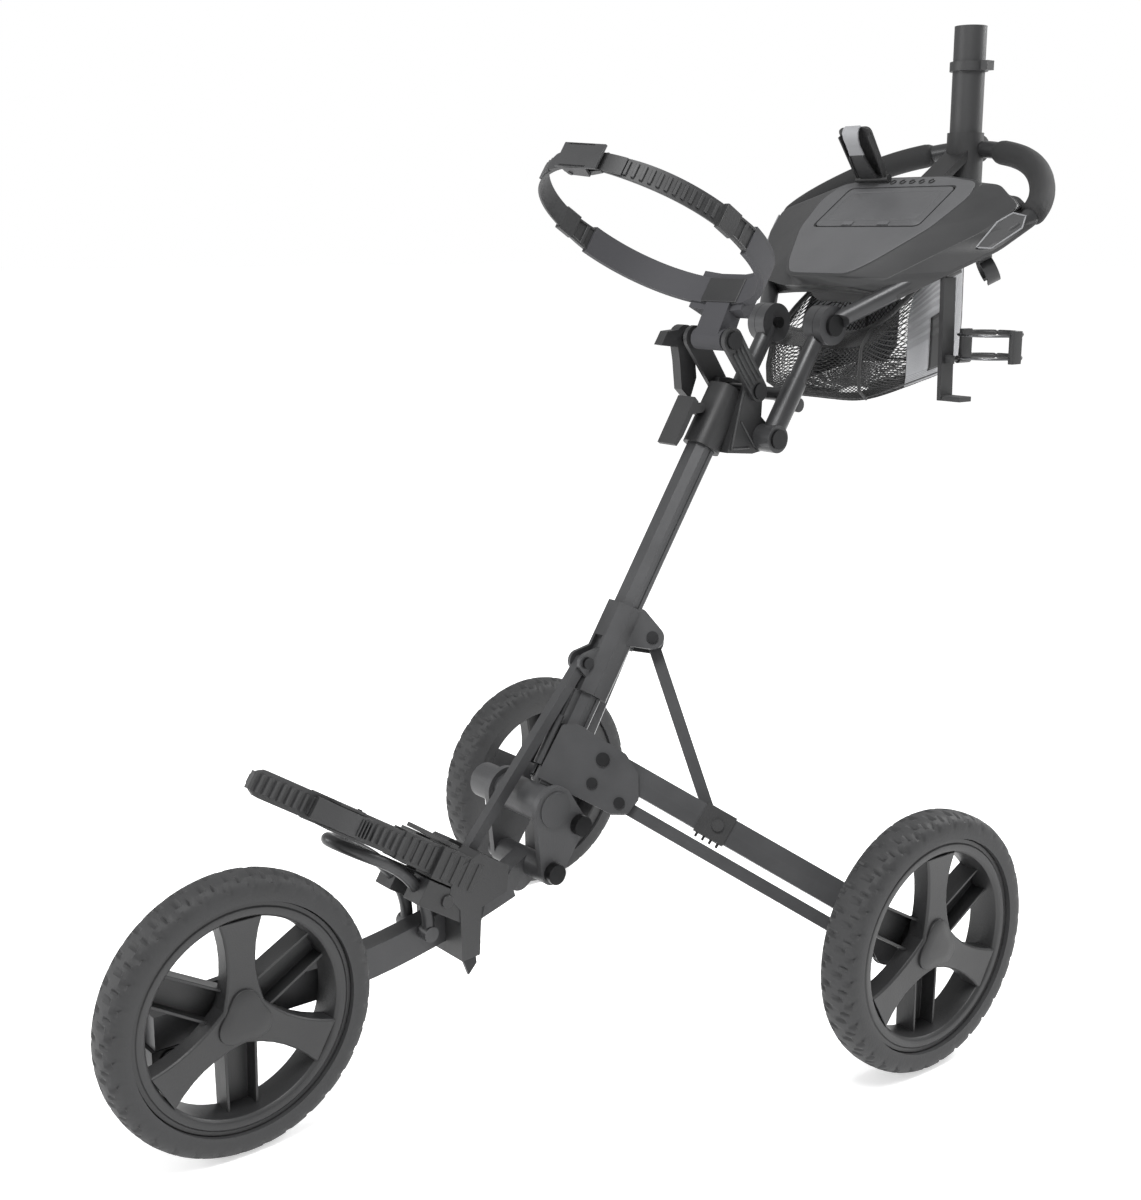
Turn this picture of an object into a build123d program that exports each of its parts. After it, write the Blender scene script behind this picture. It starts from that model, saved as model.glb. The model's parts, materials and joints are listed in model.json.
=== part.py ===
from build123d import *
import math
import os

# Golf push trolley, three wheels, folding.
# Frame: +Z up, +X to the trolley's left, -Y forwards. The origin is on the ground, in the middle
# of the trolley's length and width. Millimetres and degrees.

os.makedirs("parts", exist_ok=True)

# ---------------------------------------------------------------- driving dimensions
AXLE_Y = 180.8            # rear axle line, behind the origin
HALF_TRACK = 357.0        # mid plane of a rear wheel
WHEELBASE = 685.0
FRONT_WHEEL_X = 41.0      # the front wheel stands to the left of its arm
WHEEL_RADIUS = 150.0
TYRE_HALF_WIDTH = 24.0
RIM_RADIUS = 123.0
RIM_HALF_WIDTH = 20.0
AXLE_RADIUS = 6.0
RUNNING_GAP = 0.06        # radial clearance of every turning pin

TUBE_ANGLE = 57.9         # main tube from the ground
TUBE_SIZE = 32.0
TUBE_CORNER = 8.0
BARREL_RADIUS = 21.0      # cross tube that the front arm turns on
SOCKET_RADIUS = 17.0      # umbrella socket
TUBE_START = 27.0         # stations along the main tube from its foot point
TUBE_END = 545.0
SLIDER_START = 144.0
SLIDER_END = 258.0
COLLAR_START = 473.0
COLLAR_END = 553.0

LEG_LENGTH = 345.0        # between a leg's two pivots
LEG_HEIGHT = 32.0
LEG_HALF_THICKNESS = 10.5
ROD_OFFSET = (41.0, -34.0)     # lower rod pivot from the beam pivot, in the leg's plane
ROD_HEIGHT = 15.0
STRUT_ON_LEG = 148.0
STRUT_ON_SLIDER = (-21.0, 154.0)
STRUT_LAYER = -20.5       # the strut runs behind the leg
PLATE_INNER = 12.5
PLATE_OUTER = 16.0

HANDLE_RISE = 34.5        # slope of the handle loop
HANDLE_TUBE_RADIUS = 11.0
GRIP_RADIUS = 15.5
BAG_LOOP_TILT = 32.1      # the bag loops stand square to the main tube


def at(x, y, z):
    """A point given from the rear axle line on the ground."""
    return (x, y + AXLE_Y, z)


def unit(v):
    length = math.sqrt(sum(c * c for c in v))
    return tuple(c / length for c in v)


def cross(a, b):
    return (a[1] * b[2] - a[2] * b[1], a[2] * b[0] - a[0] * b[2], a[0] * b[1] - a[1] * b[0])


def save(piece, name):
    piece.label = name
    export_step(piece, f"parts/{name}.step")


def save_pair(left_piece, name):
    """Writes a left piece and its mirror image on the right."""
    save(left_piece, f"left_{name}")
    with BuildPart() as right:
        mirror(left_piece, about=Plane.YZ)
    save(right.part, f"right_{name}")


# ---------------------------------------------------------------- shared planes
TUBE_DIR = (0.0, math.cos(math.radians(TUBE_ANGLE)), math.sin(math.radians(TUBE_ANGLE)))
TUBE_FOOT = at(0, -272.8, 268)
TUBE = Plane(origin=TUBE_FOOT, x_dir=(1, 0, 0), z_dir=TUBE_DIR)

LEG_INNER = at(39.2, -203.6, 320.0)
LEG_DIR = unit((252.8, 192.1, -158.6))
LEG_NORMAL = unit(cross(LEG_DIR, TUBE_DIR))
LEG = Plane(origin=LEG_INNER, x_dir=LEG_DIR, z_dir=LEG_NORMAL)

BEND_PIVOT = at(0, 137, 812)
RISE_DIR = (0.0, math.cos(math.radians(HANDLE_RISE)), math.sin(math.radians(HANDLE_RISE)))
HANDLE = Plane(origin=BEND_PIVOT, x_dir=(1, 0, 0), z_dir=(0, -RISE_DIR[2], RISE_DIR[1]))

SIDE = Plane(origin=(0, AXLE_Y, 0), x_dir=(0, 1, 0), z_dir=(1, 0, 0))   # side view, from the axle line

RAIL = Plane(origin=TUBE_FOOT, x_dir=TUBE_DIR, z_dir=(1, 0, 0))   # x along the main tube, y in front of it

CROSS_TUBE = (-283.0, 280.0)      # side view places, as (y, z) from the axle line
UPPER_BOLT = (-249.0, 255.0)
LOWER_BOLT = (-287.0, 205.0)
BRACE_TOP = (-205.0, 432.0)
BRACE_FOOT = (-407.5, 191.8)
SADDLE_PIVOT = (-5.0, 798.0)
BRACKET_PIVOT = (40.0, 736.0)
FORK_FOOT = (52.0, 679.0)
FORK_HEAD = (137.0, 812.0)


def on_handle(x, along, over=0.0):
    """A point of the handle loop's plane: across, up the slope, and square to the slope."""
    y = FORK_HEAD[0] + along * RISE_DIR[1] - over * RISE_DIR[2]
    z = FORK_HEAD[1] + along * RISE_DIR[2] + over * RISE_DIR[1]
    return at(x, y, z)


def hull_plate(plane, circles, thickness):
    """A plate whose outline is drawn tight around circles given as (x, y, radius)."""
    with BuildPart() as plate:
        with BuildSketch(plane):
            for x, y, radius in circles:
                with Locations((x, y)):
                    Circle(radius)
            make_hull()
        extrude(amount=thickness)
    return plate.part


def pin(plane, x, y, radius, low, high):
    """A round pin square to a plane, between two heights over it."""
    with BuildPart() as rod:
        with BuildSketch(plane.offset(low)):
            with Locations((x, y)):
                Circle(radius)
        extrude(amount=high - low)
    return rod.part


# ---------------------------------------------------------------- wheels
def tyre(centre):
    section = Plane(origin=centre, x_dir=(0, 0, 1), z_dir=(0, 1, 0))
    w = TYRE_HALF_WIDTH
    r = WHEEL_RADIUS
    with BuildPart() as ring:
        with BuildSketch(section):
            with BuildLine():
                Polyline((r - 4, -w + 7), (r - 14, -w), (RIM_RADIUS + 0.1, -w + 4))
                Line((RIM_RADIUS + 0.1, -w + 4), (RIM_RADIUS + 0.1, w - 4))
                Polyline((RIM_RADIUS + 0.1, w - 4), (r - 14, w), (r - 4, w - 7))
                ThreePointArc((r - 4, w - 7), (r, 0), (r - 4, -w + 7))
            make_face()
        revolve(axis=Axis(centre, (1, 0, 0)))
    return ring.part


def star(plane, low, high, turn, hub_width, rim_width, core):
    """Three tapering spokes on a round core, as one solid."""
    with BuildPart() as spokes:
        with BuildSketch(plane.offset(low)):
            Circle(core)
            for k in range(3):
                angle = math.radians(turn + 120 * k)
                c, s = math.cos(angle), math.sin(angle)
                corners = ((0, -hub_width / 2), (106, -rim_width / 2), (106, rim_width / 2), (0, hub_width / 2))
                with BuildLine():
                    Polyline(*[(x * c - y * s, x * s + y * c) for x, y in corners], close=True)
                make_face()
        extrude(amount=high - low)
    return spokes.part


def hub(centre, outward, turn):
    """Six-spoke wheel: a flush star outside and a set-back star inside."""
    face = Plane(origin=centre, x_dir=(0, 1, 0), z_dir=(outward, 0, 0))
    with BuildPart() as wheel:
        with BuildSketch(face.offset(-RIM_HALF_WIDTH)):
            Circle(RIM_RADIUS)
            Circle(RIM_RADIUS - 19, mode=Mode.SUBTRACT)
        extrude(amount=2 * RIM_HALF_WIDTH)
        add(star(face, -4, 20, turn, 52, 36, 27))
        add(star(face, -20, 4, turn + 60, 46, 34, 25))
        with BuildSketch(face.offset(-22)):
            Circle(10.95)
        extrude(amount=40, mode=Mode.SUBTRACT)
    return wheel.part


def bearings(centre, outward):
    face = Plane(origin=centre, x_dir=(0, 1, 0), z_dir=(outward, 0, 0))
    with BuildPart() as rings:
        for low in (-20.0, 10.0):
            with BuildSketch(face.offset(low)):
                Circle(10.9)
                Circle(AXLE_RADIUS + RUNNING_GAP, mode=Mode.SUBTRACT)
            extrude(amount=7)
    return rings.part


def make_wheel(name, x, y, outward, turn):
    centre = at(x, y, WHEEL_RADIUS)
    save(tyre(centre), f"{name}_tyre")
    save(hub(centre, outward, turn), f"{name}_wheel")
    save(bearings(centre, outward), f"{name}_bearings")


make_wheel("left", HALF_TRACK, 0, 1, 90)
make_wheel("right", -HALF_TRACK, 0, -1, 30)
make_wheel("front", FRONT_WHEEL_X, -WHEELBASE, 1, 90)

# ---------------------------------------------------------------- main tube and its foot
with BuildPart() as main_tube:
    with BuildSketch(TUBE.offset(TUBE_START)):
        Rectangle(TUBE_SIZE, TUBE_SIZE)
        chamfer(vertices(), length=TUBE_CORNER)
        with Locations((TUBE_SIZE / 2, 0), (-TUBE_SIZE / 2, 0)):
            Rectangle(2, 6, mode=Mode.SUBTRACT)
    extrude(amount=TUBE_END - TUBE_START)
    with BuildSketch(TUBE.offset(TUBE_START)):
        Rectangle(TUBE_SIZE - 6, TUBE_SIZE - 6)
        chamfer(vertices(), length=TUBE_CORNER - 2)
    extrude(amount=TUBE_END - TUBE_START, mode=Mode.SUBTRACT)
save(main_tube.part, "main_tube")

with BuildPart() as pivot_housing:
    with BuildSketch(TUBE.offset(-5)):
        Rectangle(TUBE_SIZE + 8, TUBE_SIZE + 8)
        chamfer(vertices(), length=2 * TUBE_CORNER + 2)
    extrude(amount=50)
    with BuildSketch(TUBE.offset(TUBE_START - 0.1)):
        Rectangle(TUBE_SIZE + 0.1, TUBE_SIZE + 0.1)
        chamfer(vertices(), length=TUBE_CORNER)
    extrude(amount=60, mode=Mode.SUBTRACT)
    with BuildSketch(SIDE.offset(-88)):
        with Locations(CROSS_TUBE):
            Circle(BARREL_RADIUS)
    extrude(amount=140)
save(pivot_housing.part, "pivot_housing")

with BuildPart() as lock_rod:
    with BuildSketch(TUBE.offset(46)):
        with Locations((0, -25)):
            Circle(5.4)
    extrude(amount=62)
    with BuildSketch(TUBE.offset(50)):
        with Locations((0, -18.3)):
            Rectangle(6, 4)
    extrude(amount=50)
    with BuildSketch(TUBE.offset(46)):
        with Locations((0, -24)):
            Circle(3)
    extrude(amount=96)
save(lock_rod.part, "lock_rod")

# ---------------------------------------------------------------- rear leg hinge plates
FRONT_PLATE = [(-57, -55), (-61, 12), (-46, 22), (-12, 20), (20, 19), (44, 6), (58, -18), (56, -40), (38, -50)]
REAR_PLATE = [(-31, -40), (-31, 14), (20, 19), (44, 6), (58, -18), (56, -40), (38, -50)]
SPACER = (2.6, -30.0)

with BuildPart() as left_plates:
    for low, outline in ((PLATE_INNER, FRONT_PLATE), (-PLATE_OUTER, REAR_PLATE)):
        with BuildSketch(LEG.offset(low)):
            Polygon(*outline, align=None)
            fillet(vertices(), radius=4)
            Circle(5.02, mode=Mode.SUBTRACT)
            with Locations(ROD_OFFSET, SPACER):
                Circle(4.02, mode=Mode.SUBTRACT)
        extrude(amount=PLATE_OUTER - PLATE_INNER)

with BuildPart() as hinge_plates:
    add(left_plates.part)
    mirror(left_plates.part, about=Plane.YZ)
save(hinge_plates.part, "hinge_plates")


def headed_pin(plane, x, y, radius, reach, head):
    """A pin with a flat head at each end, reaching as far either side of a plane."""
    with BuildPart() as bolt:
        add(pin(plane, x, y, radius, -reach, reach))
        add(pin(plane, x, y, head, reach, reach + 3))
        add(pin(plane, x, y, head, -reach - 3, -reach))
    return bolt.part


with BuildPart() as left_bolts:
    add(headed_pin(LEG, 0, 0, 5, PLATE_OUTER + 0.05, 8))
    add(headed_pin(LEG, *ROD_OFFSET, 4, PLATE_OUTER + 0.05, 6.5))
    add(headed_pin(LEG, *SPACER, 4, PLATE_OUTER + 0.05, 6.5))

with BuildPart() as hinge_bolts:
    add(left_bolts.part)
    mirror(left_bolts.part, about=Plane.YZ)
save(hinge_bolts.part, "hinge_bolts")

# ---------------------------------------------------------------- rear legs
with BuildPart() as beam:
    with BuildSketch(LEG.offset(-LEG_HALF_THICKNESS)):
        with Locations((LEG_LENGTH / 2, 0)):
            SlotCenterToCenter(LEG_LENGTH, LEG_HEIGHT)
        with Locations((0, 0), (LEG_LENGTH, 0)):
            Circle(5 + RUNNING_GAP, mode=Mode.SUBTRACT)
    extrude(amount=2 * LEG_HALF_THICKNESS)
save_pair(beam.part, "leg_beam")

SLEEVE_START = 130.0
SLEEVE_LENGTH = 38.0
with BuildPart() as strut_sleeve:
    with BuildSketch(Plane(origin=LEG_INNER, x_dir=LEG_NORMAL, z_dir=LEG_DIR).offset(SLEEVE_START)):
        Rectangle(2 * LEG_HALF_THICKNESS + 4, LEG_HEIGHT + 4)
        Rectangle(2 * LEG_HALF_THICKNESS + 0.1, LEG_HEIGHT + 0.1, mode=Mode.SUBTRACT)
    extrude(amount=SLEEVE_LENGTH)
    with BuildSketch(LEG.offset(-4)):
        with Locations((SLEEVE_START + SLEEVE_LENGTH / 2, -LEG_HEIGHT / 2 - 4)):
            with GridLocations(9, 1, 4, 1):
                Rectangle(3, 6)
    extrude(amount=8)
    add(pin(LEG, SLEEVE_START + 22, 0, 7, LEG_HALF_THICKNESS + 2, LEG_HALF_THICKNESS + 5))
save_pair(strut_sleeve.part, "strut_sleeve")

with BuildPart() as rod:
    with BuildSketch(LEG.offset(-6.5)):
        with Locations((ROD_OFFSET[0] + LEG_LENGTH / 2, ROD_OFFSET[1])):
            SlotCenterToCenter(LEG_LENGTH, ROD_HEIGHT)
        with Locations(ROD_OFFSET, (ROD_OFFSET[0] + LEG_LENGTH, ROD_OFFSET[1])):
            Circle(4 + RUNNING_GAP, mode=Mode.SUBTRACT)
    extrude(amount=13)
save_pair(rod.part, "lower_rod")

STRUT_RUN = (STRUT_ON_LEG - STRUT_ON_SLIDER[0], -STRUT_ON_SLIDER[1])
STRUT_LENGTH = math.hypot(*STRUT_RUN)
STRUT_ANGLE = math.degrees(math.atan2(STRUT_RUN[1], STRUT_RUN[0]))

with BuildPart() as strut:
    with BuildSketch(LEG.offset(STRUT_LAYER - 6)):
        with Locations(((STRUT_ON_LEG + STRUT_ON_SLIDER[0]) / 2, STRUT_ON_SLIDER[1] / 2)):
            SlotCenterToCenter(STRUT_LENGTH, 14, rotation=STRUT_ANGLE)
        with Locations(STRUT_ON_SLIDER):
            Circle(4 + RUNNING_GAP, mode=Mode.SUBTRACT)
    extrude(amount=12)
save_pair(strut.part, "strut")

# ---------------------------------------------------------------- wheel carriers
BOSS = (LEG_LENGTH + 39.6, -0.7)
ROD_END = (ROD_OFFSET[0] + LEG_LENGTH, ROD_OFFSET[1])
BOSS_INNER_X = 306.0
BOSS_OUTER_X = 331.0
CHEEK = PLATE_OUTER - PLATE_INNER

with BuildPart() as carrier:
    for low in (PLATE_INNER, -PLATE_OUTER):
        add(hull_plate(LEG.offset(low), [(LEG_LENGTH, 0, 13), (*ROD_END, 10), (*BOSS, 14)], CHEEK))
    with BuildSketch(SIDE.offset(BOSS_INNER_X)):
        with Locations((0, WHEEL_RADIUS)):
            Circle(13)
    extrude(amount=BOSS_OUTER_X - BOSS_INNER_X)
    with BuildSketch(LEG.offset(-PLATE_OUTER)):
        with Locations((BOSS[0] + 3, BOSS[1] + 2)):
            Rectangle(16, 22)
    extrude(amount=2 * PLATE_OUTER)
    add(pin(LEG, LEG_LENGTH, 0, 5, -PLATE_OUTER, PLATE_OUTER))
    add(pin(LEG, *ROD_END, 4, -PLATE_OUTER, PLATE_OUTER))
    with BuildSketch(SIDE.offset(BOSS_INNER_X - 10)):
        with Locations((0, WHEEL_RADIUS)):
            Circle(AXLE_RADIUS + 0.03)
    extrude(amount=60, mode=Mode.SUBTRACT)
save_pair(carrier.part, "wheel_carrier")

with BuildPart() as rear_axle:
    with BuildSketch(SIDE.offset(BOSS_INNER_X)):
        with Locations((0, WHEEL_RADIUS)):
            Circle(AXLE_RADIUS)
    extrude(amount=HALF_TRACK + 17 - BOSS_INNER_X)
save_pair(rear_axle.part, "axle")

# ---------------------------------------------------------------- slider on the main tube
SLIDER_BORE = TUBE_SIZE + 1.0
BRACE_HALF = 6.0
CLEVIS_GAP = 6.5

with BuildPart() as left_ear:
    ear = [(*STRUT_ON_SLIDER, 14), (-46, STRUT_ON_SLIDER[1] + 14, 10), (-46, STRUT_ON_SLIDER[1] - 14, 10)]
    for low in (4, -31.5):
        add(hull_plate(LEG.offset(low), ear, 4))
    with BuildSketch(LEG.offset(-31.5)):
        with Locations((-48, STRUT_ON_SLIDER[1])):
            Rectangle(20, 42)
    extrude(amount=39.5)

with BuildPart() as slider:
    with BuildSketch(TUBE.offset(SLIDER_START)):
        Rectangle(SLIDER_BORE + 12, SLIDER_BORE + 12)
        chamfer(vertices(), length=TUBE_CORNER + 4)
    extrude(amount=SLIDER_END - SLIDER_START)
    add(left_ear.part)
    mirror(left_ear.part, about=Plane.YZ)
    for low in (CLEVIS_GAP, -CLEVIS_GAP - 4.5):
        add(hull_plate(SIDE.offset(low), [(*BRACE_TOP, 12), (-176, 440, 10), (-192, 410, 8)], 4.5))
    with BuildSketch(TUBE.offset(SLIDER_START - 20)):
        Rectangle(SLIDER_BORE, SLIDER_BORE)
        chamfer(vertices(), length=TUBE_CORNER)
    extrude(amount=SLIDER_END - SLIDER_START + 40, mode=Mode.SUBTRACT)
    with BuildSketch(SIDE.offset(-20)):
        with Locations(BRACE_TOP):
            Circle(4.03)
    extrude(amount=40, mode=Mode.SUBTRACT)
    with BuildSketch(SIDE.offset(-BRACE_HALF - 0.4)):
        with Locations(BRACE_TOP):
            SlotCenterToCenter(60, 18, rotation=50)
    extrude(amount=2 * BRACE_HALF + 0.8, mode=Mode.SUBTRACT)
    with BuildSketch(TUBE.offset(SLIDER_START - 4)):
        with Locations((0, -24)):
            Circle(4)
    extrude(amount=20, mode=Mode.SUBTRACT)
save(slider.part, "slider_sleeve")

with BuildPart() as left_ear_pin:
    add(pin(LEG, *STRUT_ON_SLIDER, 4, -27.45, 3.95))
    add(pin(LEG, *STRUT_ON_SLIDER, 7, 8.05, 11))

with BuildPart() as slider_pins:
    add(left_ear_pin.part)
    mirror(left_ear_pin.part, about=Plane.YZ)
    add(pin(SIDE, *BRACE_TOP, 4, -CLEVIS_GAP - 4.5, CLEVIS_GAP + 4.5))
    add(pin(SIDE, *BRACE_TOP, 7, CLEVIS_GAP + 4.55, CLEVIS_GAP + 8))
save(slider_pins.part, "slider_pins")

BRACE_RUN = (BRACE_FOOT[0] - BRACE_TOP[0], BRACE_FOOT[1] - BRACE_TOP[1])
BRACE_MIDDLE = ((BRACE_TOP[0] + BRACE_FOOT[0]) / 2, (BRACE_TOP[1] + BRACE_FOOT[1]) / 2)
with BuildPart() as brace:
    with BuildSketch(SIDE.offset(-BRACE_HALF)):
        with Locations(BRACE_MIDDLE):
            SlotCenterToCenter(
                math.hypot(*BRACE_RUN),
                13,
                rotation=math.degrees(math.atan2(BRACE_RUN[1], BRACE_RUN[0])),
            )
        with Locations(BRACE_TOP):
            Circle(4 + RUNNING_GAP, mode=Mode.SUBTRACT)
    extrude(amount=2 * BRACE_HALF)
save(brace.part, "front_brace")

# ---------------------------------------------------------------- front arm
ARM_WIDTH = 26.0
ARM_HEIGHT = 36.0
ARM_LEVEL = 138.0
ARM_START = (-318.0, 188.0)
ARM_STRAIGHT = -575.0     # from here forwards the arm is straight and level
ARM_TIP = -762.0

with BuildLine():
    bend = Spline(ARM_START, (-376, 170), (-440, 154), (-508, 142.5), (ARM_STRAIGHT, ARM_LEVEL))


def beside_arm(share, away):
    """Side-view point beside the arm's bent centre line."""
    spot = bend @ share
    run = bend % share
    return (spot.X - away * run.Y, spot.Y + away * run.X)


arm_rise = ((bend % 0).X, (bend % 0).Y)
arm_face = Plane(origin=at(0, *ARM_START), x_dir=(1, 0, 0), z_dir=(0, *arm_rise))

with BuildPart() as front_arm:
    with BuildSketch(SIDE.offset(-ARM_WIDTH / 2)):
        with BuildLine():
            for below in (-ARM_HEIGHT / 2, ARM_HEIGHT / 2):
                level = ARM_LEVEL - below
                curve = [beside_arm(share, below) for share in (0, 0.25, 0.5, 0.75)]
                Spline(*curve, (ARM_STRAIGHT, level))
                Line((ARM_STRAIGHT, level), (ARM_TIP, level))
            Line(beside_arm(0, -ARM_HEIGHT / 2), beside_arm(0, ARM_HEIGHT / 2))
            Line((ARM_TIP, ARM_LEVEL - ARM_HEIGHT / 2), (ARM_TIP, ARM_LEVEL + ARM_HEIGHT / 2))
        make_face()
    extrude(amount=ARM_WIDTH)
    with BuildSketch(SIDE.offset(-20)):
        with Locations((-WHEELBASE, WHEEL_RADIUS)):
            Circle(AXLE_RADIUS + 0.03)
    extrude(amount=40, mode=Mode.SUBTRACT)
save(front_arm.part, "front_arm")

RING_X = (42.0, 50.0)
with BuildPart() as arm_casting:
    for low in (RING_X[0], -RING_X[1]):
        cheek = [(*CROSS_TUBE, 27), (*UPPER_BOLT, 12), (*LOWER_BOLT, 15)]
        add(hull_plate(SIDE.offset(low), cheek, RING_X[1] - RING_X[0]))
    add(pin(SIDE, *LOWER_BOLT, 15, -RING_X[1], RING_X[1]))
    add(hull_plate(SIDE.offset(-13), [(*LOWER_BOLT, 15), (-306, 193, 17)], 26))
    with BuildSketch(SIDE.offset(-60)):
        with Locations(CROSS_TUBE):
            Circle(BARREL_RADIUS + RUNNING_GAP)
        with Locations(UPPER_BOLT, LOWER_BOLT):
            Circle(6.05)
    extrude(amount=120, mode=Mode.SUBTRACT)
    with BuildSketch(arm_face.offset(-0.1)):
        Rectangle(60, 80)
    extrude(amount=30, mode=Mode.SUBTRACT)
save(arm_casting.part, "arm_casting")

with BuildPart() as arm_bolts:
    add(pin(SIDE, *LOWER_BOLT, 6, -RING_X[1] - 0.05, RING_X[1] + 0.05))
    for side in (1, -1):
        low, high = sorted((side * (RING_X[1] + 0.05), side * (RING_X[1] + 10)))
        add(pin(SIDE, *LOWER_BOLT, 12, low, high))
        add(pin(SIDE, *UPPER_BOLT, 12, low, high))
        low, high = sorted((side * RING_X[0], side * (RING_X[1] + 5)))
        add(pin(SIDE, *UPPER_BOLT, 6, low, high))
save(arm_bolts.part, "arm_bolts")

with BuildPart() as front_axle:
    with BuildSketch(SIDE.offset(-22)):
        with Locations((-WHEELBASE, WHEEL_RADIUS)):
            Circle(AXLE_RADIUS)
    extrude(amount=FRONT_WHEEL_X + 17 + 22)
save(front_axle.part, "front_axle")

with BuildPart() as adjuster:
    with BuildSketch(SIDE.offset(-21)):
        Polygon(*[(-770, 158), (-664, 164), (-664, 112), (-724, 98), (-770, 92)], align=None)
        fillet(vertices(), radius=6)
        with Locations((-WHEELBASE, WHEEL_RADIUS)):
            Circle(AXLE_RADIUS + 0.03, mode=Mode.SUBTRACT)
    extrude(amount=7.9)
    with BuildSketch(SIDE.offset(-21)):
        with Locations((-746, 108)):
            Rectangle(40, 22)
    extrude(amount=34)
    add(pin(SIDE, -746, 106, 11, 10, 15))
save(adjuster.part, "tracking_adjuster")

with BuildPart() as bag_rest:
    with BuildLine():
        hoop = [(22, -440, 163), (24, -450, 212), (28, -485, 252), (27, -525, 277), (0, -548, 290)]
        hoop += [(-x, y, z) for x, y, z in reversed(hoop[:-1])]
        hoop_line = Spline(*[at(*point) for point in hoop])
    with BuildSketch(Plane(origin=hoop_line @ 0, z_dir=hoop_line % 0)):
        Circle(7)
    sweep()
    add(pin(SIDE, -440, 163, 9, 13.05, 30))
    add(pin(SIDE, -440, 163, 9, -30, -13.05))
save(bag_rest.part, "bag_rest")

# ---------------------------------------------------------------- lower bag cradle
CRADLE_SIDE = [
    (-410, 128),
    (-386, 130),
    (-383, 186),
    (-348, 196),
    (-345, 226),
    (-384, 250),
    (-418, 238),
    (-427, 208),
    (-412, 190),
]

with BuildPart() as lower_saddle:
    for low in (13.1, -45):
        with BuildSketch(SIDE.offset(low)):
            Polygon(*CRADLE_SIDE, align=None)
        extrude(amount=31.9)
    with BuildSketch(SIDE.offset(-45)):
        Polygon(*[(-410, 128), (-386, 130), (-385, 146.5), (-410, 141)], align=None)
    extrude(amount=90)
save(lower_saddle.part, "lower_saddle")


def loop_plane(y, z):
    """The plane of a bag loop: across, and forwards-up from its base. Its normal points down."""
    tilt = math.radians(BAG_LOOP_TILT)
    forward = (0, -math.cos(tilt), math.sin(tilt))
    return Plane(origin=at(0, y, z), x_dir=(1, 0, 0), z_dir=cross((1, 0, 0), forward))


LOWER_LOOP = loop_plane(-400, 229)
with BuildPart() as lower_strap:
    with BuildSketch(LOWER_LOOP.offset(-12)):
        Polygon(*[(14, 34), (18, 34), (18, 200), (28, 232), (28, 302), (23, 302), (23, 236), (14, 204)], align=None)
        Polygon(*[(33, 34), (37, 34), (37, 204), (28, 240), (26, 236), (33, 200)], align=None)
    extrude(amount=24)
    with BuildSketch(LOWER_LOOP.offset(-15)):
        with Locations((30, 185)):
            Rectangle(24, 74)
    extrude(amount=30)
save(lower_strap.part, "lower_strap")

with BuildPart() as hook:
    with BuildSketch(SIDE.offset(20)):
        Polygon(
            *[(-361, 186), (-366, 185), (-382, 130), (-394, 116), (-387, 98), (-376, 110), (-378, 127)],
            align=None,
        )
    extrude(amount=4)
save(hook.part, "strap_hook")

# ---------------------------------------------------------------- collar and hinge block at the tube's top
COLLAR_SIZE = TUBE_SIZE + 9
LATCH_PIVOT = (512.0, 30.0)      # on the rail: station, distance in front

with BuildPart() as collar:
    with BuildSketch(TUBE.offset(COLLAR_START)):
        RectangleRounded(COLLAR_SIZE, COLLAR_SIZE, 14)
    extrude(amount=COLLAR_END - COLLAR_START)
    with BuildSketch(TUBE.offset(COLLAR_START - 1)):
        Rectangle(TUBE_SIZE + 0.1, TUBE_SIZE + 0.1)
        chamfer(vertices(), length=TUBE_CORNER)
    extrude(amount=TUBE_END - COLLAR_START + 1.1, mode=Mode.SUBTRACT)
    add(hull_plate(RAIL.offset(-13.9), [(*LATCH_PIVOT, 5), (LATCH_PIVOT[0], 22, 6)], 7.8))
    add(pin(RAIL, *LATCH_PIVOT, 3, -25, 5))
save(collar.part, "top_collar")

with BuildPart() as release_lever:
    for low in (-25, -5.9):
        add(hull_plate(RAIL.offset(low), [(*LATCH_PIVOT, 6), (LATCH_PIVOT[0] - 8, 40, 5)], 11))
    with BuildSketch(RAIL.offset(-25)):
        Polygon(*[(455, 40), (455, 45), (518, 46), (516, 38), (470, 37.5)], align=None)
    extrude(amount=30.1)
    with BuildSketch(RAIL.offset(-30)):
        with Locations(LATCH_PIVOT):
            Circle(3 + RUNNING_GAP)
    extrude(amount=40, mode=Mode.SUBTRACT)
save(release_lever.part, "release_lever")

BLOCK_HALF = 30.0
with BuildPart() as hinge_block:
    with BuildSketch(SIDE.offset(-BLOCK_HALF)):
        Polygon(*[(-6, 664), (36, 660), (64, 664), (66, 690), (50, 704), (52, 744), (28, 750)], align=None)
        with Locations(BRACKET_PIVOT):
            Circle(13)
    extrude(amount=2 * BLOCK_HALF)
    with BuildSketch(TUBE.offset(COLLAR_START - 40)):
        RectangleRounded(COLLAR_SIZE + 0.1, COLLAR_SIZE + 0.1, 14)
    extrude(amount=COLLAR_END - COLLAR_START + 90, mode=Mode.SUBTRACT)
    with BuildSketch(SIDE.offset(-40)):
        with Locations(FORK_FOOT, BRACKET_PIVOT):
            Circle(7 + RUNNING_GAP)
    extrude(amount=80, mode=Mode.SUBTRACT)
save(hinge_block.part, "hinge_block")

# ---------------------------------------------------------------- upper bag cradle
LINK_INNER = 30.1
LINK_THICKNESS = 6.0

with BuildPart() as bracket_links:
    for low in (LINK_INNER, -LINK_INNER - LINK_THICKNESS):
        add(hull_plate(SIDE.offset(low), [(*SADDLE_PIVOT, 15), (*BRACKET_PIVOT, 13)], LINK_THICKNESS))
    with BuildSketch(SIDE.offset(-40)):
        with Locations(SADDLE_PIVOT, BRACKET_PIVOT):
            Circle(7 + RUNNING_GAP)
    extrude(amount=80, mode=Mode.SUBTRACT)
save(bracket_links.part, "bracket_links")

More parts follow.
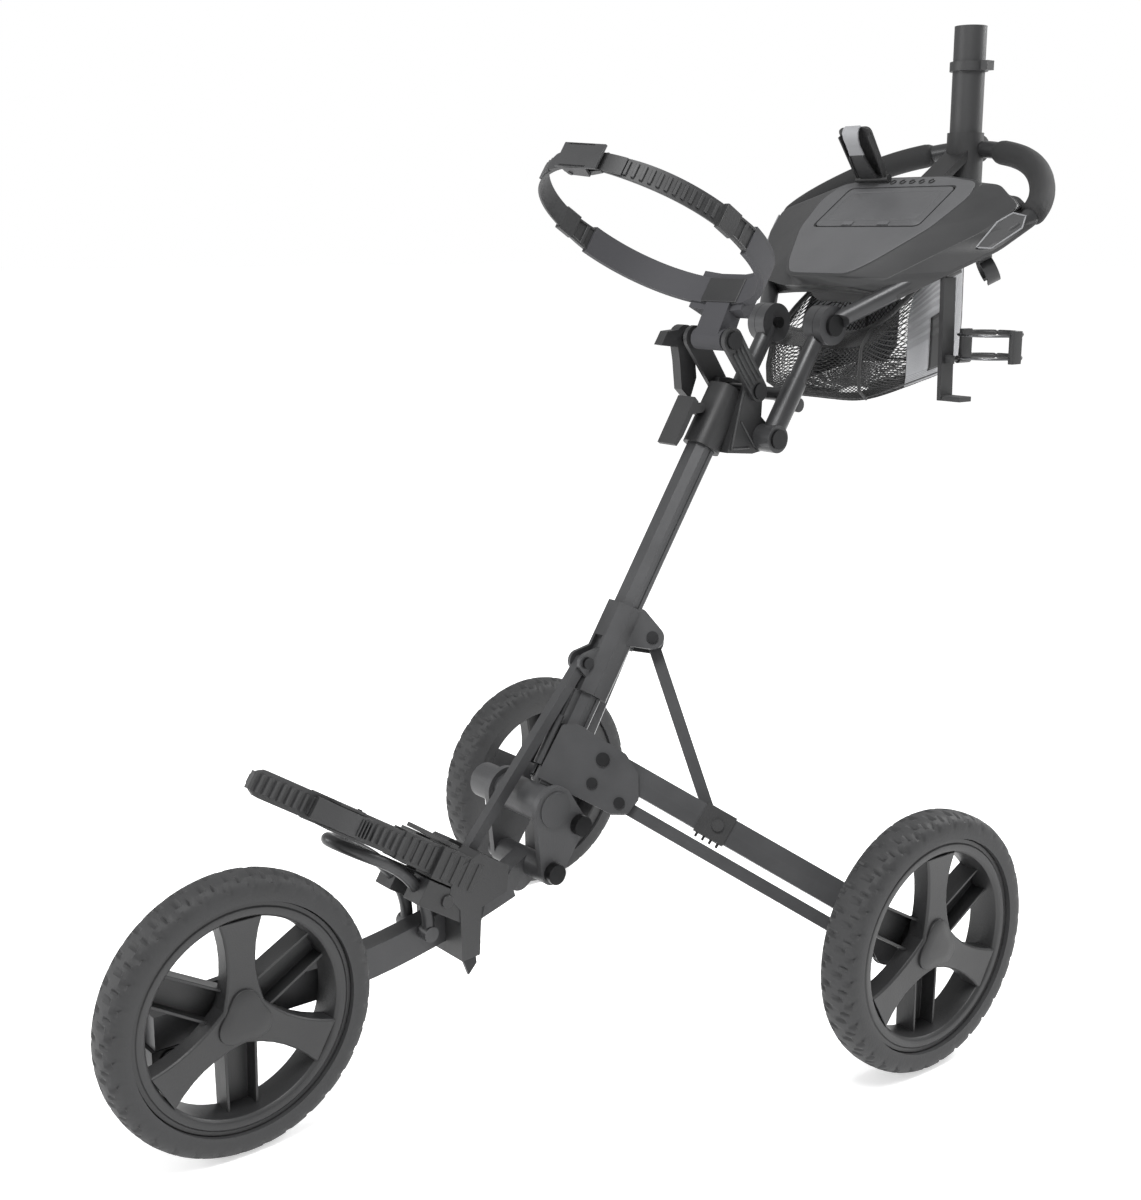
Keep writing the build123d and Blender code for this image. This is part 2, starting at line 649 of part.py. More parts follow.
with BuildPart() as pivot_bolts:
    add(pin(SIDE, *BRACKET_PIVOT, 7, -36.2, 36.2))
    add(pin(SIDE, *BRACKET_PIVOT, 10, 36.2, 39))
    add(pin(SIDE, *BRACKET_PIVOT, 10, -39, -36.2))
    add(pin(SIDE, *SADDLE_PIVOT, 7, -64, 36.2))
    add(pin(SIDE, *SADDLE_PIVOT, 11, 36.2, 40))
    add(pin(SIDE, *FORK_FOOT, 7, -57.5, 57.5))
    add(pin(SIDE, *FORK_FOOT, 12, 57.5, 61))
    add(pin(SIDE, *FORK_FOOT, 12, -61, -57.5))
save(pivot_bolts.part, "pivot_bolts")

UPPER_LOOP = loop_plane(35, 840)
LOOP_CENTRE = (0.0, 160.0)
LOOP_RADIUS = 135.0
WING_REACH = 140.0

with BuildPart() as upper_saddle:
    add(pin(SIDE, *SADDLE_PIVOT, 13, -25, 25))
    add(hull_plate(SIDE.offset(-20), [(*SADDLE_PIVOT, 13), (14, 838, 12)], 40))
    with BuildSketch(UPPER_LOOP.offset(-17)):
        with Locations(LOOP_CENTRE):
            Circle(LOOP_RADIUS + 8)
            Circle(LOOP_RADIUS, mode=Mode.SUBTRACT)
        with Locations((0, WING_REACH + 100)):
            Rectangle(400, 200, mode=Mode.SUBTRACT)
    extrude(amount=34)
    with BuildSketch(UPPER_LOOP.offset(-25)):
        Polygon(*[(-45, 30), (-40, 8), (40, 8), (45, 30), (20, 24), (-20, 24)], align=None)
    extrude(amount=50)
    with BuildSketch(SIDE.offset(-30)):
        with Locations(SADDLE_PIVOT):
            Circle(7 + RUNNING_GAP)
    extrude(amount=60, mode=Mode.SUBTRACT)
save(upper_saddle.part, "upper_saddle")

with BuildPart() as upper_strap:
    with BuildSketch(UPPER_LOOP.offset(-13)):
        with Locations(LOOP_CENTRE):
            Circle(LOOP_RADIUS + 6)
            Circle(LOOP_RADIUS + 2, mode=Mode.SUBTRACT)
        with Locations((0, WING_REACH - 199.9)):
            Rectangle(400, 400, mode=Mode.SUBTRACT)
    extrude(amount=26)
    with BuildSketch(UPPER_LOOP.offset(-15)):
        with Locations((20, 299)):
            Rectangle(60, 14)
    extrude(amount=30)
save(upper_strap.part, "upper_strap")

with BuildPart() as cam_lever:
    with BuildSketch(SIDE.offset(-62)):
        with Locations(SADDLE_PIVOT):
            Circle(15)
        Polygon(*[(-20, 800), (9, 792), (14, 748), (4, 722), (-10, 735), (-14, 770)], align=None)
        Polygon(*[(-6, 808), (-34, 806), (-44, 790), (-32, 788), (-10, 786)], align=None)
        with Locations(SADDLE_PIVOT):
            Circle(7 + RUNNING_GAP, mode=Mode.SUBTRACT)
    extrude(amount=14)
save(cam_lever.part, "cam_lever")

# ---------------------------------------------------------------- handle fork
FORK_X = 44.0
FORK_DIR = unit((0, FORK_HEAD[0] - FORK_FOOT[0], FORK_HEAD[1] - FORK_FOOT[1]))
FORK_LENGTH = math.dist(FORK_FOOT, FORK_HEAD)
DISC_RADIUS = 24.0

with BuildPart() as left_fork:
    with BuildSketch(Plane(origin=at(FORK_X, *FORK_FOOT), z_dir=FORK_DIR).offset(2)):
        Circle(HANDLE_TUBE_RADIUS)
    extrude(amount=FORK_LENGTH - 8)
    with BuildSketch(Plane(origin=at(FORK_X, *FORK_FOOT), z_dir=FORK_DIR).offset(3)):
        Circle(13.3)
    extrude(amount=75)
    add(pin(SIDE, *FORK_FOOT, 17, 30.6, 57.4))
    with BuildSketch(SIDE.offset(49.5)):
        with Locations(FORK_HEAD):
            Circle(DISC_RADIUS + 1.5)
    extrude(amount=20, mode=Mode.SUBTRACT)
    add(pin(SIDE, *FORK_HEAD, DISC_RADIUS, 34, 49.5))
    with BuildSketch(SIDE.offset(20)):
        with Locations(FORK_FOOT, FORK_HEAD):
            Circle(7 + RUNNING_GAP)
    extrude(amount=50, mode=Mode.SUBTRACT)

with BuildPart() as fork:
    add(left_fork.part)
    mirror(left_fork.part, about=Plane.YZ)
    add(pin(SIDE, 84, 729, 8, -40, 40))
    add(hull_plate(SIDE.offset(16), [(88, 727, 7), (104, 722, 7), (116, 714, 9)], 13))
save(fork.part, "handle_fork")

with BuildPart() as left_bend_bolt:
    add(pin(SIDE, *FORK_HEAD, 7, 28, 62.1))
    add(pin(SIDE, *FORK_HEAD, 13, 62.1, 67))

with BuildPart() as bend_bolts:
    add(left_bend_bolt.part)
    mirror(left_bend_bolt.part, about=Plane.YZ)
save(bend_bolts.part, "bend_bolts")

# ---------------------------------------------------------------- handle loop
SHOULDER = (176.0, 172.0)
RUN_START = (57.0, 4.0)
RUN_LENGTH = math.dist(RUN_START, SHOULDER)
RUN_SLOPE = ((SHOULDER[0] - RUN_START[0]) / RUN_LENGTH, (SHOULDER[1] - RUN_START[1]) / RUN_LENGTH)
LOOP_POINTS = [RUN_START, (96.7, 60), (136.3, 116), SHOULDER, (200, 228), (172, 300), (100, 362), (0, 388)]


def half_loop_tube(radius):
    """The left half of the loop, solid, as thick as asked."""
    with BuildPart() as half:
        with BuildLine(HANDLE):
            loop_line = Spline(*LOOP_POINTS)
        with BuildSketch(Plane(origin=loop_line @ 0, z_dir=loop_line % 0)):
            Circle(radius)
        sweep(path=loop_line)
    return half.part


with BuildPart() as left_handle:
    add(half_loop_tube(HANDLE_TUBE_RADIUS))
    with BuildSketch(SIDE.offset(20)):
        with Locations(FORK_HEAD):
            Circle(DISC_RADIUS + 1.5)
    extrude(amount=30.1, mode=Mode.SUBTRACT)
    with BuildSketch(SIDE.offset(62)):
        with Locations(FORK_HEAD):
            Circle(13.5)
    extrude(amount=20, mode=Mode.SUBTRACT)
    add(pin(SIDE, *FORK_HEAD, DISC_RADIUS, 50.1, 62))
    with BuildSketch(SIDE.offset(20)):
        with Locations(FORK_HEAD):
            Circle(7 + RUNNING_GAP)
    extrude(amount=60, mode=Mode.SUBTRACT)

with BuildPart() as handle:
    add(left_handle.part)
    mirror(left_handle.part, about=Plane.YZ)
save(handle.part, "handle_loop")

with BuildPart() as left_grip:
    with BuildLine(HANDLE):
        loop_line = Spline(*LOOP_POINTS)
    grip_line = loop_line.trim(0.5, 0.89)
    with BuildSketch(Plane(origin=grip_line @ 0, z_dir=grip_line % 0)):
        Circle(GRIP_RADIUS)
    sweep(path=grip_line)
    add(half_loop_tube(HANDLE_TUBE_RADIUS + 0.1), mode=Mode.SUBTRACT)

with BuildPart() as grips:
    add(left_grip.part)
    mirror(left_grip.part, about=Plane.YZ)
save(grips.part, "handle_grips")

# ---------------------------------------------------------------- console
CONSOLE_BASE = 12.5       # heights over the loop's plane
CONSOLE_TOP = 31.0
BASE_HALF = [(60, 50), (106, 84), (184, 172), (188, 196), (126, 270), (60, 284)]
TOP_HALF = [(50, 60), (74, 92), (94, 160), (114, 236), (114, 262), (56, 276)]
LID_MIDDLE = 207.0
LID_LENGTH = 86.0
LID_WIDTH = 176.0
LID_THICKNESS = 4.0


def both_halves(half):
    return half + [(-x, y) for x, y in reversed(half)]


CLIP_AXIS = (264.0, CONSOLE_TOP + 6.5)
CLIP_PLANE = Plane(origin=on_handle(0, *CLIP_AXIS), x_dir=(0, 1, 0), z_dir=(1, 0, 0))

with BuildPart() as console:
    with BuildSketch(HANDLE.offset(CONSOLE_BASE)):
        Polygon(*both_halves(BASE_HALF), align=None)
    with BuildSketch(HANDLE.offset(CONSOLE_TOP)):
        Polygon(*both_halves(TOP_HALF), align=None)
    loft(ruled=True)
    with BuildSketch(HANDLE.offset(-27)):
        with Locations((0, 150)):
            Rectangle(100, 150)
    extrude(amount=27 + CONSOLE_BASE + 1)
    with BuildSketch(HANDLE.offset(-24)):
        with Locations((0, LID_MIDDLE - 12)):
            Rectangle(94, 52)
    extrude(amount=60, mode=Mode.SUBTRACT)
    with BuildSketch(HANDLE.offset(CONSOLE_TOP - LID_THICKNESS - 0.2)):
        with Locations((0, LID_MIDDLE)):
            Rectangle(LID_WIDTH + 1, LID_LENGTH + 1)
    extrude(amount=10, mode=Mode.SUBTRACT)
    for x in (-89.5, -25.5):
        with BuildSketch(HANDLE.offset(CONSOLE_TOP - 2)):
            with Locations((x, CLIP_AXIS[0])):
                Rectangle(7, 12)
        extrude(amount=13)
    add(pin(CLIP_PLANE, 0, 0, 2.5, -90, -25))
save(console.part, "console_body")

with BuildPart() as lid:
    with BuildSketch(HANDLE.offset(CONSOLE_TOP - LID_THICKNESS)):
        with Locations((0, LID_MIDDLE)):
            Rectangle(LID_WIDTH, LID_LENGTH)
    extrude(amount=LID_THICKNESS + 1)
save(lid.part, "console_lid")

with BuildPart() as clip:
    with BuildSketch(HANDLE.offset(CLIP_AXIS[1] - 3)):
        with Locations((-57.5, CLIP_AXIS[0])):
            Rectangle(56, 7)
    extrude(amount=79)
    add(pin(CLIP_PLANE, 0, 0, 5, -85.5, -29.5))
    with BuildSketch(HANDLE.offset(CLIP_AXIS[1] + 4)):
        with Locations((-57.5, CLIP_AXIS[0] - 9)):
            Rectangle(30, 5)
    extrude(amount=70)
    with BuildSketch(HANDLE.offset(CLIP_AXIS[1] + 68)):
        with Locations((-57.5, CLIP_AXIS[0] - 5)):
            Rectangle(30, 10)
    extrude(amount=8)
    with BuildSketch(CLIP_PLANE.offset(-100)):
        Circle(2.5 + RUNNING_GAP)
    extrude(amount=90, mode=Mode.SUBTRACT)
save(clip.part, "scorecard_clip")

# ---------------------------------------------------------------- umbrella holder
UMBRELLA_Y = 447.0
SLEEVE_TOP = 1052.0
UMBRELLA_TOP = 1187.0
LOOP_REAR = on_handle(0, 388)

with BuildPart() as umbrella_mount:
    with BuildSketch(Plane(origin=at(0, UMBRELLA_Y, 985))):
        Circle(24)
    extrude(amount=SLEEVE_TOP - 985)
    with BuildSketch(Plane(origin=LOOP_REAR, x_dir=(0, 1, 0), z_dir=(1, 0, 0)).offset(-20)):
        Circle(17)
    extrude(amount=40)
    with BuildSketch(HANDLE.offset(1)):
        with Locations((0, 326)):
            Rectangle(36, 78)
    extrude(amount=11)
    half = half_loop_tube(HANDLE_TUBE_RADIUS + 0.3)
    add(half, mode=Mode.SUBTRACT)
    mirror(half, about=Plane.YZ, mode=Mode.SUBTRACT)
save(umbrella_mount.part, "umbrella_mount")

with BuildPart() as umbrella_tube:
    with BuildSketch(Plane(origin=at(0, UMBRELLA_Y, SLEEVE_TOP + 0.1))):
        Circle(21)
    extrude(amount=UMBRELLA_TOP - SLEEVE_TOP - 0.1)
    with BuildSketch(Plane(origin=at(0, UMBRELLA_Y, SLEEVE_TOP + 6))):
        Circle(SOCKET_RADIUS)
    extrude(amount=UMBRELLA_TOP - SLEEVE_TOP, mode=Mode.SUBTRACT)
save(umbrella_tube.part, "umbrella_tube")

with BuildPart() as tube_clamp:
    with BuildSketch(Plane(origin=at(0, UMBRELLA_Y, 1130))):
        Circle(25)
        with Locations((26, 0)):
            Rectangle(18, 14)
        Circle(21.1, mode=Mode.SUBTRACT)
    extrude(amount=12)
save(tube_clamp.part, "tube_clamp")

# ---------------------------------------------------------------- accessories on the left handle tube
LEFT_RUN = (RUN_SLOPE[0], RUN_SLOPE[1] * RISE_DIR[1], RUN_SLOPE[1] * RISE_DIR[2])
OVER = (0.0, -RISE_DIR[2], RISE_DIR[1])


def tube_plane(along, over):
    """A plane square to the left handle tube: its y axis points up out of the loop's plane."""
    share = (along - RUN_START[1]) / (SHOULDER[1] - RUN_START[1])
    x = RUN_START[0] + share * (SHOULDER[0] - RUN_START[0])
    return Plane(origin=on_handle(x, along, over), x_dir=cross(OVER, LEFT_RUN), z_dir=LEFT_RUN)



CUP_PLATE_X = 147.0
CUP_PIVOT = (160.0, 772.0)       # x, z of the ring's hinge
CUP_CENTRE = (198.5, 264.0)

with BuildPart() as cup_bracket:
    with BuildSketch(tube_plane(130, -2.5).offset(-10)):
        Circle(14.5)
    extrude(amount=20)
    with BuildSketch(SIDE.offset(CUP_PLATE_X)):
        Polygon(*[(230, 870), (252, 870), (256, 724), (234, 722)], align=None)
    extrude(amount=6)
    with BuildSketch(SIDE.offset(CUP_PLATE_X)):
        with Locations((246, 725)):
            Rectangle(22, 6)
    extrude(amount=34)
    with BuildSketch(SIDE.offset(CUP_PLATE_X)):
        with Locations((241, CUP_PIVOT[1])):
            Rectangle(6, 10)
    extrude(amount=16.5)
    with BuildSketch(Plane(origin=at(CUP_PIVOT[0], 240, CUP_PIVOT[1]), x_dir=(1, 0, 0), z_dir=(0, 1, 0))):
        Circle(2.5)
    extrude(amount=38)
    add(half, mode=Mode.SUBTRACT)
save(cup_bracket.part, "cup_bracket")

with BuildPart() as cup_ring:
    with BuildSketch(Plane(origin=at(CUP_CENTRE[0], CUP_CENTRE[1], CUP_PIVOT[1] - 4))):
        Circle(38)
    extrude(amount=42)
    with BuildSketch(Plane(origin=at(CUP_PIVOT[0], 252, CUP_PIVOT[1]), x_dir=(1, 0, 0), z_dir=(0, 1, 0))):
        Circle(5)
    extrude(amount=24)
    with BuildSketch(Plane(origin=at(CUP_CENTRE[0], CUP_CENTRE[1], CUP_PIVOT[1] - 10))):
        Circle(34)
    extrude(amount=60, mode=Mode.SUBTRACT)
    with BuildSketch(Plane(origin=at(CUP_PIVOT[0], 230, CUP_PIVOT[1]), x_dir=(1, 0, 0), z_dir=(0, 1, 0))):
        Circle(2.5 + RUNNING_GAP)
    extrude(amount=60, mode=Mode.SUBTRACT)
save(cup_ring.part, "cup_ring")

with BuildPart() as tube_clip:
    with BuildSketch(tube_plane(164, -2.5).offset(-8)):
        Circle(14.5)
    extrude(amount=16)
    with BuildSketch(tube_plane(164, -32).offset(-8)):
        Circle(17)
        Circle(13.5, mode=Mode.SUBTRACT)
        with Locations((0, -14)):
            Rectangle(14, 14, mode=Mode.SUBTRACT)
    extrude(amount=16)
    add(half, mode=Mode.SUBTRACT)
save(tube_clip.part, "tube_clip")

# ---------------------------------------------------------------- mesh bag under the console
BAG_HALF = 78.0
BAG_SIDE = [(178, 803), (376, 939), (372, 757), (250, 720), (200, 714), (152, 724), (150, 770)]
BAG_INSIDE = [(168, 815), (366, 952), (366, 763), (250, 725), (202, 719), (157, 728), (155, 772)]
with BuildPart() as mesh_bag:
    with BuildSketch(SIDE.offset(-BAG_HALF)):
        Polygon(*BAG_SIDE, align=None)
    extrude(amount=2 * BAG_HALF)
    with BuildSketch(SIDE.offset(-BAG_HALF + 5)):
        Polygon(*BAG_INSIDE, align=None)
    extrude(amount=2 * BAG_HALF - 10, mode=Mode.SUBTRACT)
save(mesh_bag.part, "mesh_bag")
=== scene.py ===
import json
import math

import bmesh
import bpy
from mathutils import Matrix, Vector


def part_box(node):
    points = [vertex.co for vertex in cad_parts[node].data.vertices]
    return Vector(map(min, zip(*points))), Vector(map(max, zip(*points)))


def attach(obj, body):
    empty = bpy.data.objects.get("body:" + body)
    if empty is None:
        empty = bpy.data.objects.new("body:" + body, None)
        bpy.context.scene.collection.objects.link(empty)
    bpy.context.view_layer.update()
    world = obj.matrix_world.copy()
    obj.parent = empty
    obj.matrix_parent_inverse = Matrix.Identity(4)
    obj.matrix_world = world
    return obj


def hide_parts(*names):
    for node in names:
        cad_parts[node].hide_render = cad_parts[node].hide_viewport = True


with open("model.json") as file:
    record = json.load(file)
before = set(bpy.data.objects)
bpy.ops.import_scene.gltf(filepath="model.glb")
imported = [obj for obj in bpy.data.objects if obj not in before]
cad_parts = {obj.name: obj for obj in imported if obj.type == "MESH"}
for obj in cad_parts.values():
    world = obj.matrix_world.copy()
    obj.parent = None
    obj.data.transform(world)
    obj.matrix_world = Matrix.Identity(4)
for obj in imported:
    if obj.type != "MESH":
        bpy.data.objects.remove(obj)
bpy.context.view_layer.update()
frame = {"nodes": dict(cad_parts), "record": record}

# Golf push trolley. +X is the trolley's left, -Y is forwards, +Z is up. Metres.

JOINTS = {joint["name"]: joint for joint in frame["record"]["behaviour"]["joints"]}
AXLE_Y = (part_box("left_axle")[0][1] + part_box("left_axle")[1][1]) / 2


def pivot(name):
    return Vector(JOINTS[name]["pos_m"])


# ---------------- materials
def new_material(name):
    material = bpy.data.materials.new(name)
    material.use_nodes = True
    nodes = material.node_tree.nodes
    links = material.node_tree.links
    return material, nodes, links, nodes["Principled BSDF"]


def noise(nodes, links, scale, detail=4.0, stretch=(1, 1, 1)):
    """Object-space noise; stretch below one draws it out along that axis."""
    place = nodes.new("ShaderNodeTexCoord")
    mapping = nodes.new("ShaderNodeMapping")
    mapping.inputs["Scale"].default_value = stretch
    texture = nodes.new("ShaderNodeTexNoise")
    texture.inputs["Scale"].default_value = scale
    texture.inputs["Detail"].default_value = detail
    links.new(place.outputs["Object"], mapping.inputs["Vector"])
    links.new(mapping.outputs["Vector"], texture.inputs["Vector"])
    return texture.outputs["Fac"]


def ramp(nodes, links, source, low, high, start=0.3, end=0.7):
    """Colours between two levels by a texture."""
    step = nodes.new("ShaderNodeValToRGB")
    step.color_ramp.elements[0].position = start
    step.color_ramp.elements[1].position = end
    step.color_ramp.elements[0].color = (*low, 1)
    step.color_ramp.elements[1].color = (*high, 1)
    links.new(source, step.inputs["Fac"])
    return step.outputs["Color"]


def spread(nodes, links, source, low, high):
    """Maps a texture to numbers between two values."""
    span = nodes.new("ShaderNodeMapRange")
    span.inputs["From Min"].default_value = 0.25
    span.inputs["From Max"].default_value = 0.75
    span.inputs["To Min"].default_value = low
    span.inputs["To Max"].default_value = high
    links.new(source, span.inputs["Value"])
    return span.outputs["Result"]


def bump(nodes, links, shader, height, strength, distance):
    relief = nodes.new("ShaderNodeBump")
    relief.inputs["Strength"].default_value = strength
    relief.inputs["Distance"].default_value = distance
    links.new(height, relief.inputs["Height"])
    links.new(relief.outputs["Normal"], shader.inputs["Normal"])


def edge_highlight_mask(nodes, links):
    """Painted highlight: bright on sharp outer edges."""
    geometry = nodes.new("ShaderNodeNewGeometry")
    mask = nodes.new("ShaderNodeMapRange")
    mask.inputs["From Min"].default_value = 0.52
    mask.inputs["From Max"].default_value = 0.62
    links.new(geometry.outputs["Pointiness"], mask.inputs["Value"])
    return mask.outputs["Result"]


def paint_edge_highlight(nodes, links, colour, highlight_colour, amount):
    """Lays a painted highlight, a lighter colour, over sharp outer edges."""
    mix = nodes.new("ShaderNodeMix")
    mix.data_type = "RGBA"
    scale = nodes.new("ShaderNodeMath")
    scale.operation = "MULTIPLY"
    scale.inputs[1].default_value = amount
    links.new(edge_highlight_mask(nodes, links), scale.inputs[0])
    links.new(scale.outputs[0], mix.inputs["Factor"])
    links.new(colour, mix.inputs["A"])
    mix.inputs["B"].default_value = (*highlight_colour, 1)
    return mix.outputs["Result"]


def grey(level):
    return (level, level * 1.01, level * 1.05)


def make_surface(
    name, level, rough, metallic, grain_scale, grain, spread_share=0.14, edge_highlight=0.35, stretch=(1, 1, 1)
):
    """A dark moulded, coated or anodised surface with fine grain, blotches and painted highlights on its
    sharp outer edges.
    """
    material, nodes, links, shader = new_material(name)
    blotch = noise(nodes, links, 22.0)
    fine = noise(nodes, links, grain_scale, 2.0, stretch)
    colour = ramp(nodes, links, blotch, grey(level * (1 - spread_share)), grey(level * (1 + spread_share)))
    # Sharp outer edges get a painted highlight: the base colour raised to 2.2 times its level.
    links.new(paint_edge_highlight(nodes, links, colour, grey(level * 2.2), edge_highlight), shader.inputs["Base Color"])
    links.new(spread(nodes, links, blotch, rough - 0.06, rough + 0.06), shader.inputs["Roughness"])
    shader.inputs["Metallic"].default_value = metallic
    bump(nodes, links, shader, fine, grain, 0.0006)
    return material


ANODISED = make_surface("dark_anodised_tube", 0.036, 0.38, 0.35, 900.0, 0.12)
CASTING = make_surface("coated_casting", 0.036, 0.46, 0.15, 420.0, 0.3)
PLASTIC = make_surface("black_moulded_plastic", 0.014, 0.5, 0.0, 700.0, 0.25)
HUB_PLASTIC = make_surface("wheel_plastic", 0.017, 0.47, 0.0, 520.0, 0.3)
LID_PLASTIC = make_surface("console_top_plastic", 0.068, 0.55, 0.0, 1100.0, 0.35, 0.06)
SIDE_PLASTIC = make_surface("console_side_plastic", 0.020, 0.5, 0.0, 1000.0, 0.3, 0.08)
PANEL_PLASTIC = make_surface("console_panel_plastic", 0.028, 0.55, 0.0, 900.0, 0.3, 0.06)
TRIM = make_surface("light_trim_plastic", 0.19, 0.5, 0.0, 800.0, 0.2, 0.06)
TYRE = make_surface("foam_tyre", 0.021, 0.66, 0.0, 300.0, 0.45, 0.2)
FOAM = make_surface("foam_grip", 0.013, 0.85, 0.0, 1400.0, 0.8, 0.2, 0.1)
STRAP = make_surface("ladder_strap", 0.022, 0.55, 0.0, 800.0, 0.25)
BOLT = make_surface("blackened_bolt", 0.02, 0.32, 0.8, 600.0, 0.1)
STEEL = make_surface("steel_axle", 0.12, 0.3, 1.0, 700.0, 0.1, 0.1, 0.1, (1, 40, 40))


def fabric(name, level, thread, depth):
    """Plain weave: two crossed waves of threads."""
    material, nodes, links, shader = new_material(name)
    place = nodes.new("ShaderNodeTexCoord")
    waves = []
    for direction in ("X", "Z"):
        wave = nodes.new("ShaderNodeTexWave")
        wave.bands_direction = direction
        wave.inputs["Scale"].default_value = thread
        wave.inputs["Distortion"].default_value = 0.4
        links.new(place.outputs["Object"], wave.inputs["Vector"])
        waves.append(wave.outputs["Fac"])
    weave = nodes.new("ShaderNodeMath")
    weave.operation = "MULTIPLY"
    links.new(waves[0], weave.inputs[0])
    links.new(waves[1], weave.inputs[1])
    thread_colour = ramp(nodes, links, weave.outputs[0], grey(level * 0.6), grey(level * 1.2))
    links.new(thread_colour, shader.inputs["Base Color"])
    shader.inputs["Roughness"].default_value = 0.85
    shader.inputs["Sheen Weight"].default_value = 0.25
    bump(nodes, links, shader, weave.outputs[0], depth, 0.001)
    return material


NET = fabric("net_cord", 0.018, 600.0, 0.5)
BINDING = fabric("bag_binding", 0.02, 400.0, 0.6)
PALE_CLOTH = fabric("pale_bag_cloth", 0.42, 420.0, 0.6)

# ---------------- materials on the CAD nodes
def soften(obj, width, corner):
    """Rounds the edges that turn by more than a corner angle in degrees."""
    rounding = obj.modifiers.new("soft_edges", "BEVEL")
    rounding.width = width
    rounding.segments = 2
    rounding.limit_method = "ANGLE"
    rounding.angle_limit = math.radians(corner)
    rounding.harden_normals = True


NODE_MATERIALS = (
    (ANODISED, "main_tube lock_rod hinge_plates slider_sleeve front_brace front_arm bag_rest"),
    (ANODISED, "handle_fork handle_loop left_leg_beam right_leg_beam left_lower_rod right_lower_rod"),
    (ANODISED, "left_strut right_strut"),
    (CASTING, "pivot_housing arm_casting left_wheel_carrier right_wheel_carrier"),
    (PLASTIC, "top_collar hinge_block bracket_links tracking_adjuster lower_saddle cam_lever"),
    (PLASTIC, "release_lever umbrella_mount umbrella_tube tube_clamp tube_clip cup_bracket"),
    (PLASTIC, "left_strut_sleeve right_strut_sleeve"),
    (BOLT, "hinge_bolts pivot_bolts slider_pins arm_bolts strap_hook bend_bolts"),
    (STEEL, "front_axle left_axle right_axle front_bearings left_bearings right_bearings"),
)
BEVEL_WIDTH = {"lower_saddle": 0.003, "hinge_block": 0.003, "cam_lever": 0.002}
for material, node_names in NODE_MATERIALS:
    for node_name in node_names.split():
        node = frame["nodes"][node_name]
        for material_slot in node.material_slots:
            material_slot.material = material
        soften(node, BEVEL_WIDTH.get(node_name, 0.0008), 40)


# ---------------- mesh helpers
def add_piece(name, mesh, material, body, node=None, bevel=0.0):
    """Shows a mesh on a body and the CAD node that it stands for, if any."""
    obj = bpy.data.objects.new(name, mesh)
    bpy.context.scene.collection.objects.link(obj)
    obj.data.materials.append(material)
    for polygon in obj.data.polygons:
        polygon.use_smooth = True
    if bevel:
        soften(obj, bevel, 35)
    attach(obj, body)
    if node:
        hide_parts(node)
    return obj


def mesh_from(name, build):
    """Runs build(bm) on an empty bmesh and returns the cleaned mesh."""
    mesh = bpy.data.meshes.new(name)
    bm = bmesh.new()
    build(bm)
    bmesh.ops.remove_doubles(bm, verts=bm.verts, dist=1e-6)
    bmesh.ops.recalc_face_normals(bm, faces=bm.faces)
    bm.to_mesh(mesh)
    bm.free()
    return mesh


def prism(bm, outline, low, high, place=Matrix()):
    """A closed block from a flat outline between two heights, moved by a matrix."""
    rings = [[bm.verts.new(place @ Vector((x, y, z))) for x, y in outline] for z in (low, high)]
    count = len(outline)
    bm.faces.new(list(reversed(rings[0])))
    bm.faces.new(rings[1])
    for i in range(count):
        j = (i + 1) % count
        bm.faces.new((rings[0][i], rings[0][j], rings[1][j], rings[1][i]))


def skin(bm, sections, closed_path=False, capped=True):
    """Joins sections, each a ring of points, into one closed skin."""
    rings = [[bm.verts.new(point) for point in section] for section in sections]
    count = len(rings[0])
    pairs = list(zip(rings, rings[1:]))
    if closed_path:
        pairs.append((rings[-1], rings[0]))
    for a, b in pairs:
        for i in range(count):
            j = (i + 1) % count
            bm.faces.new((a[i], a[j], b[j], b[i]))
    if capped and not closed_path:
        bm.faces.new(list(reversed(rings[0])))
        bm.faces.new(rings[-1])


def tube(bm, points, radius, sides=10, closed=False):
    """A round cord along a path of points."""
    sections = []
    count = len(points)
    for i, point in enumerate(points):
        before = points[i - 1] if (i or closed) else point
        after = points[(i + 1) % count] if (i < count - 1 or closed) else point
        along = (Vector(after) - Vector(before)).normalized()
        guide = Vector((1, 0, 0)) if abs(along.x) < 0.9 else Vector((0, 0, 1))
        across = along.cross(guide).normalized()
        third = along.cross(across)
        ring = []
        for k in range(sides):
            turn = 2 * math.pi * k / sides
            ring.append(Vector(point) + radius * (math.cos(turn) * across + math.sin(turn) * third))
        sections.append(ring)
    skin(bm, sections, closed_path=closed)


def lathe(bm, place, profile, steps):
    """Turns a closed profile of (height, radius) about a place's z axis."""
    sections = []
    for k in range(steps):
        turn = 2 * math.pi * k / steps
        sections.append([place @ Vector((r * math.cos(turn), r * math.sin(turn), z)) for z, r in profile])
    skin(bm, sections, closed_path=True)


def rectangle(x0, x1, y0, y1):
    return [(x0, y0), (x1, y0), (x1, y1), (x0, y1)]


def placed(x_axis, y_axis, z_axis, origin):
    place = Matrix((x_axis, y_axis, z_axis)).transposed().to_4x4()
    place.translation = origin
    return place


def leaning_place(along, origin):
    """Maps a space of x across, y along a direction and z square to both onto the trolley."""
    across = Vector((1, 0, 0))
    return placed(across, along, across.cross(along), origin)


# ---------------- wheels
RIM_RADIUS = 0.1228
TREADS = 34


def wheel_place(node, outward):
    """Maps wheel space (z outwards, y up) onto a tyre node."""
    low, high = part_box(node)
    z_axis = Vector((outward, 0, 0))
    y_axis = Vector((0, 0, 1))
    return placed(y_axis.cross(z_axis), y_axis, z_axis, (Vector(low) + Vector(high)) / 2)


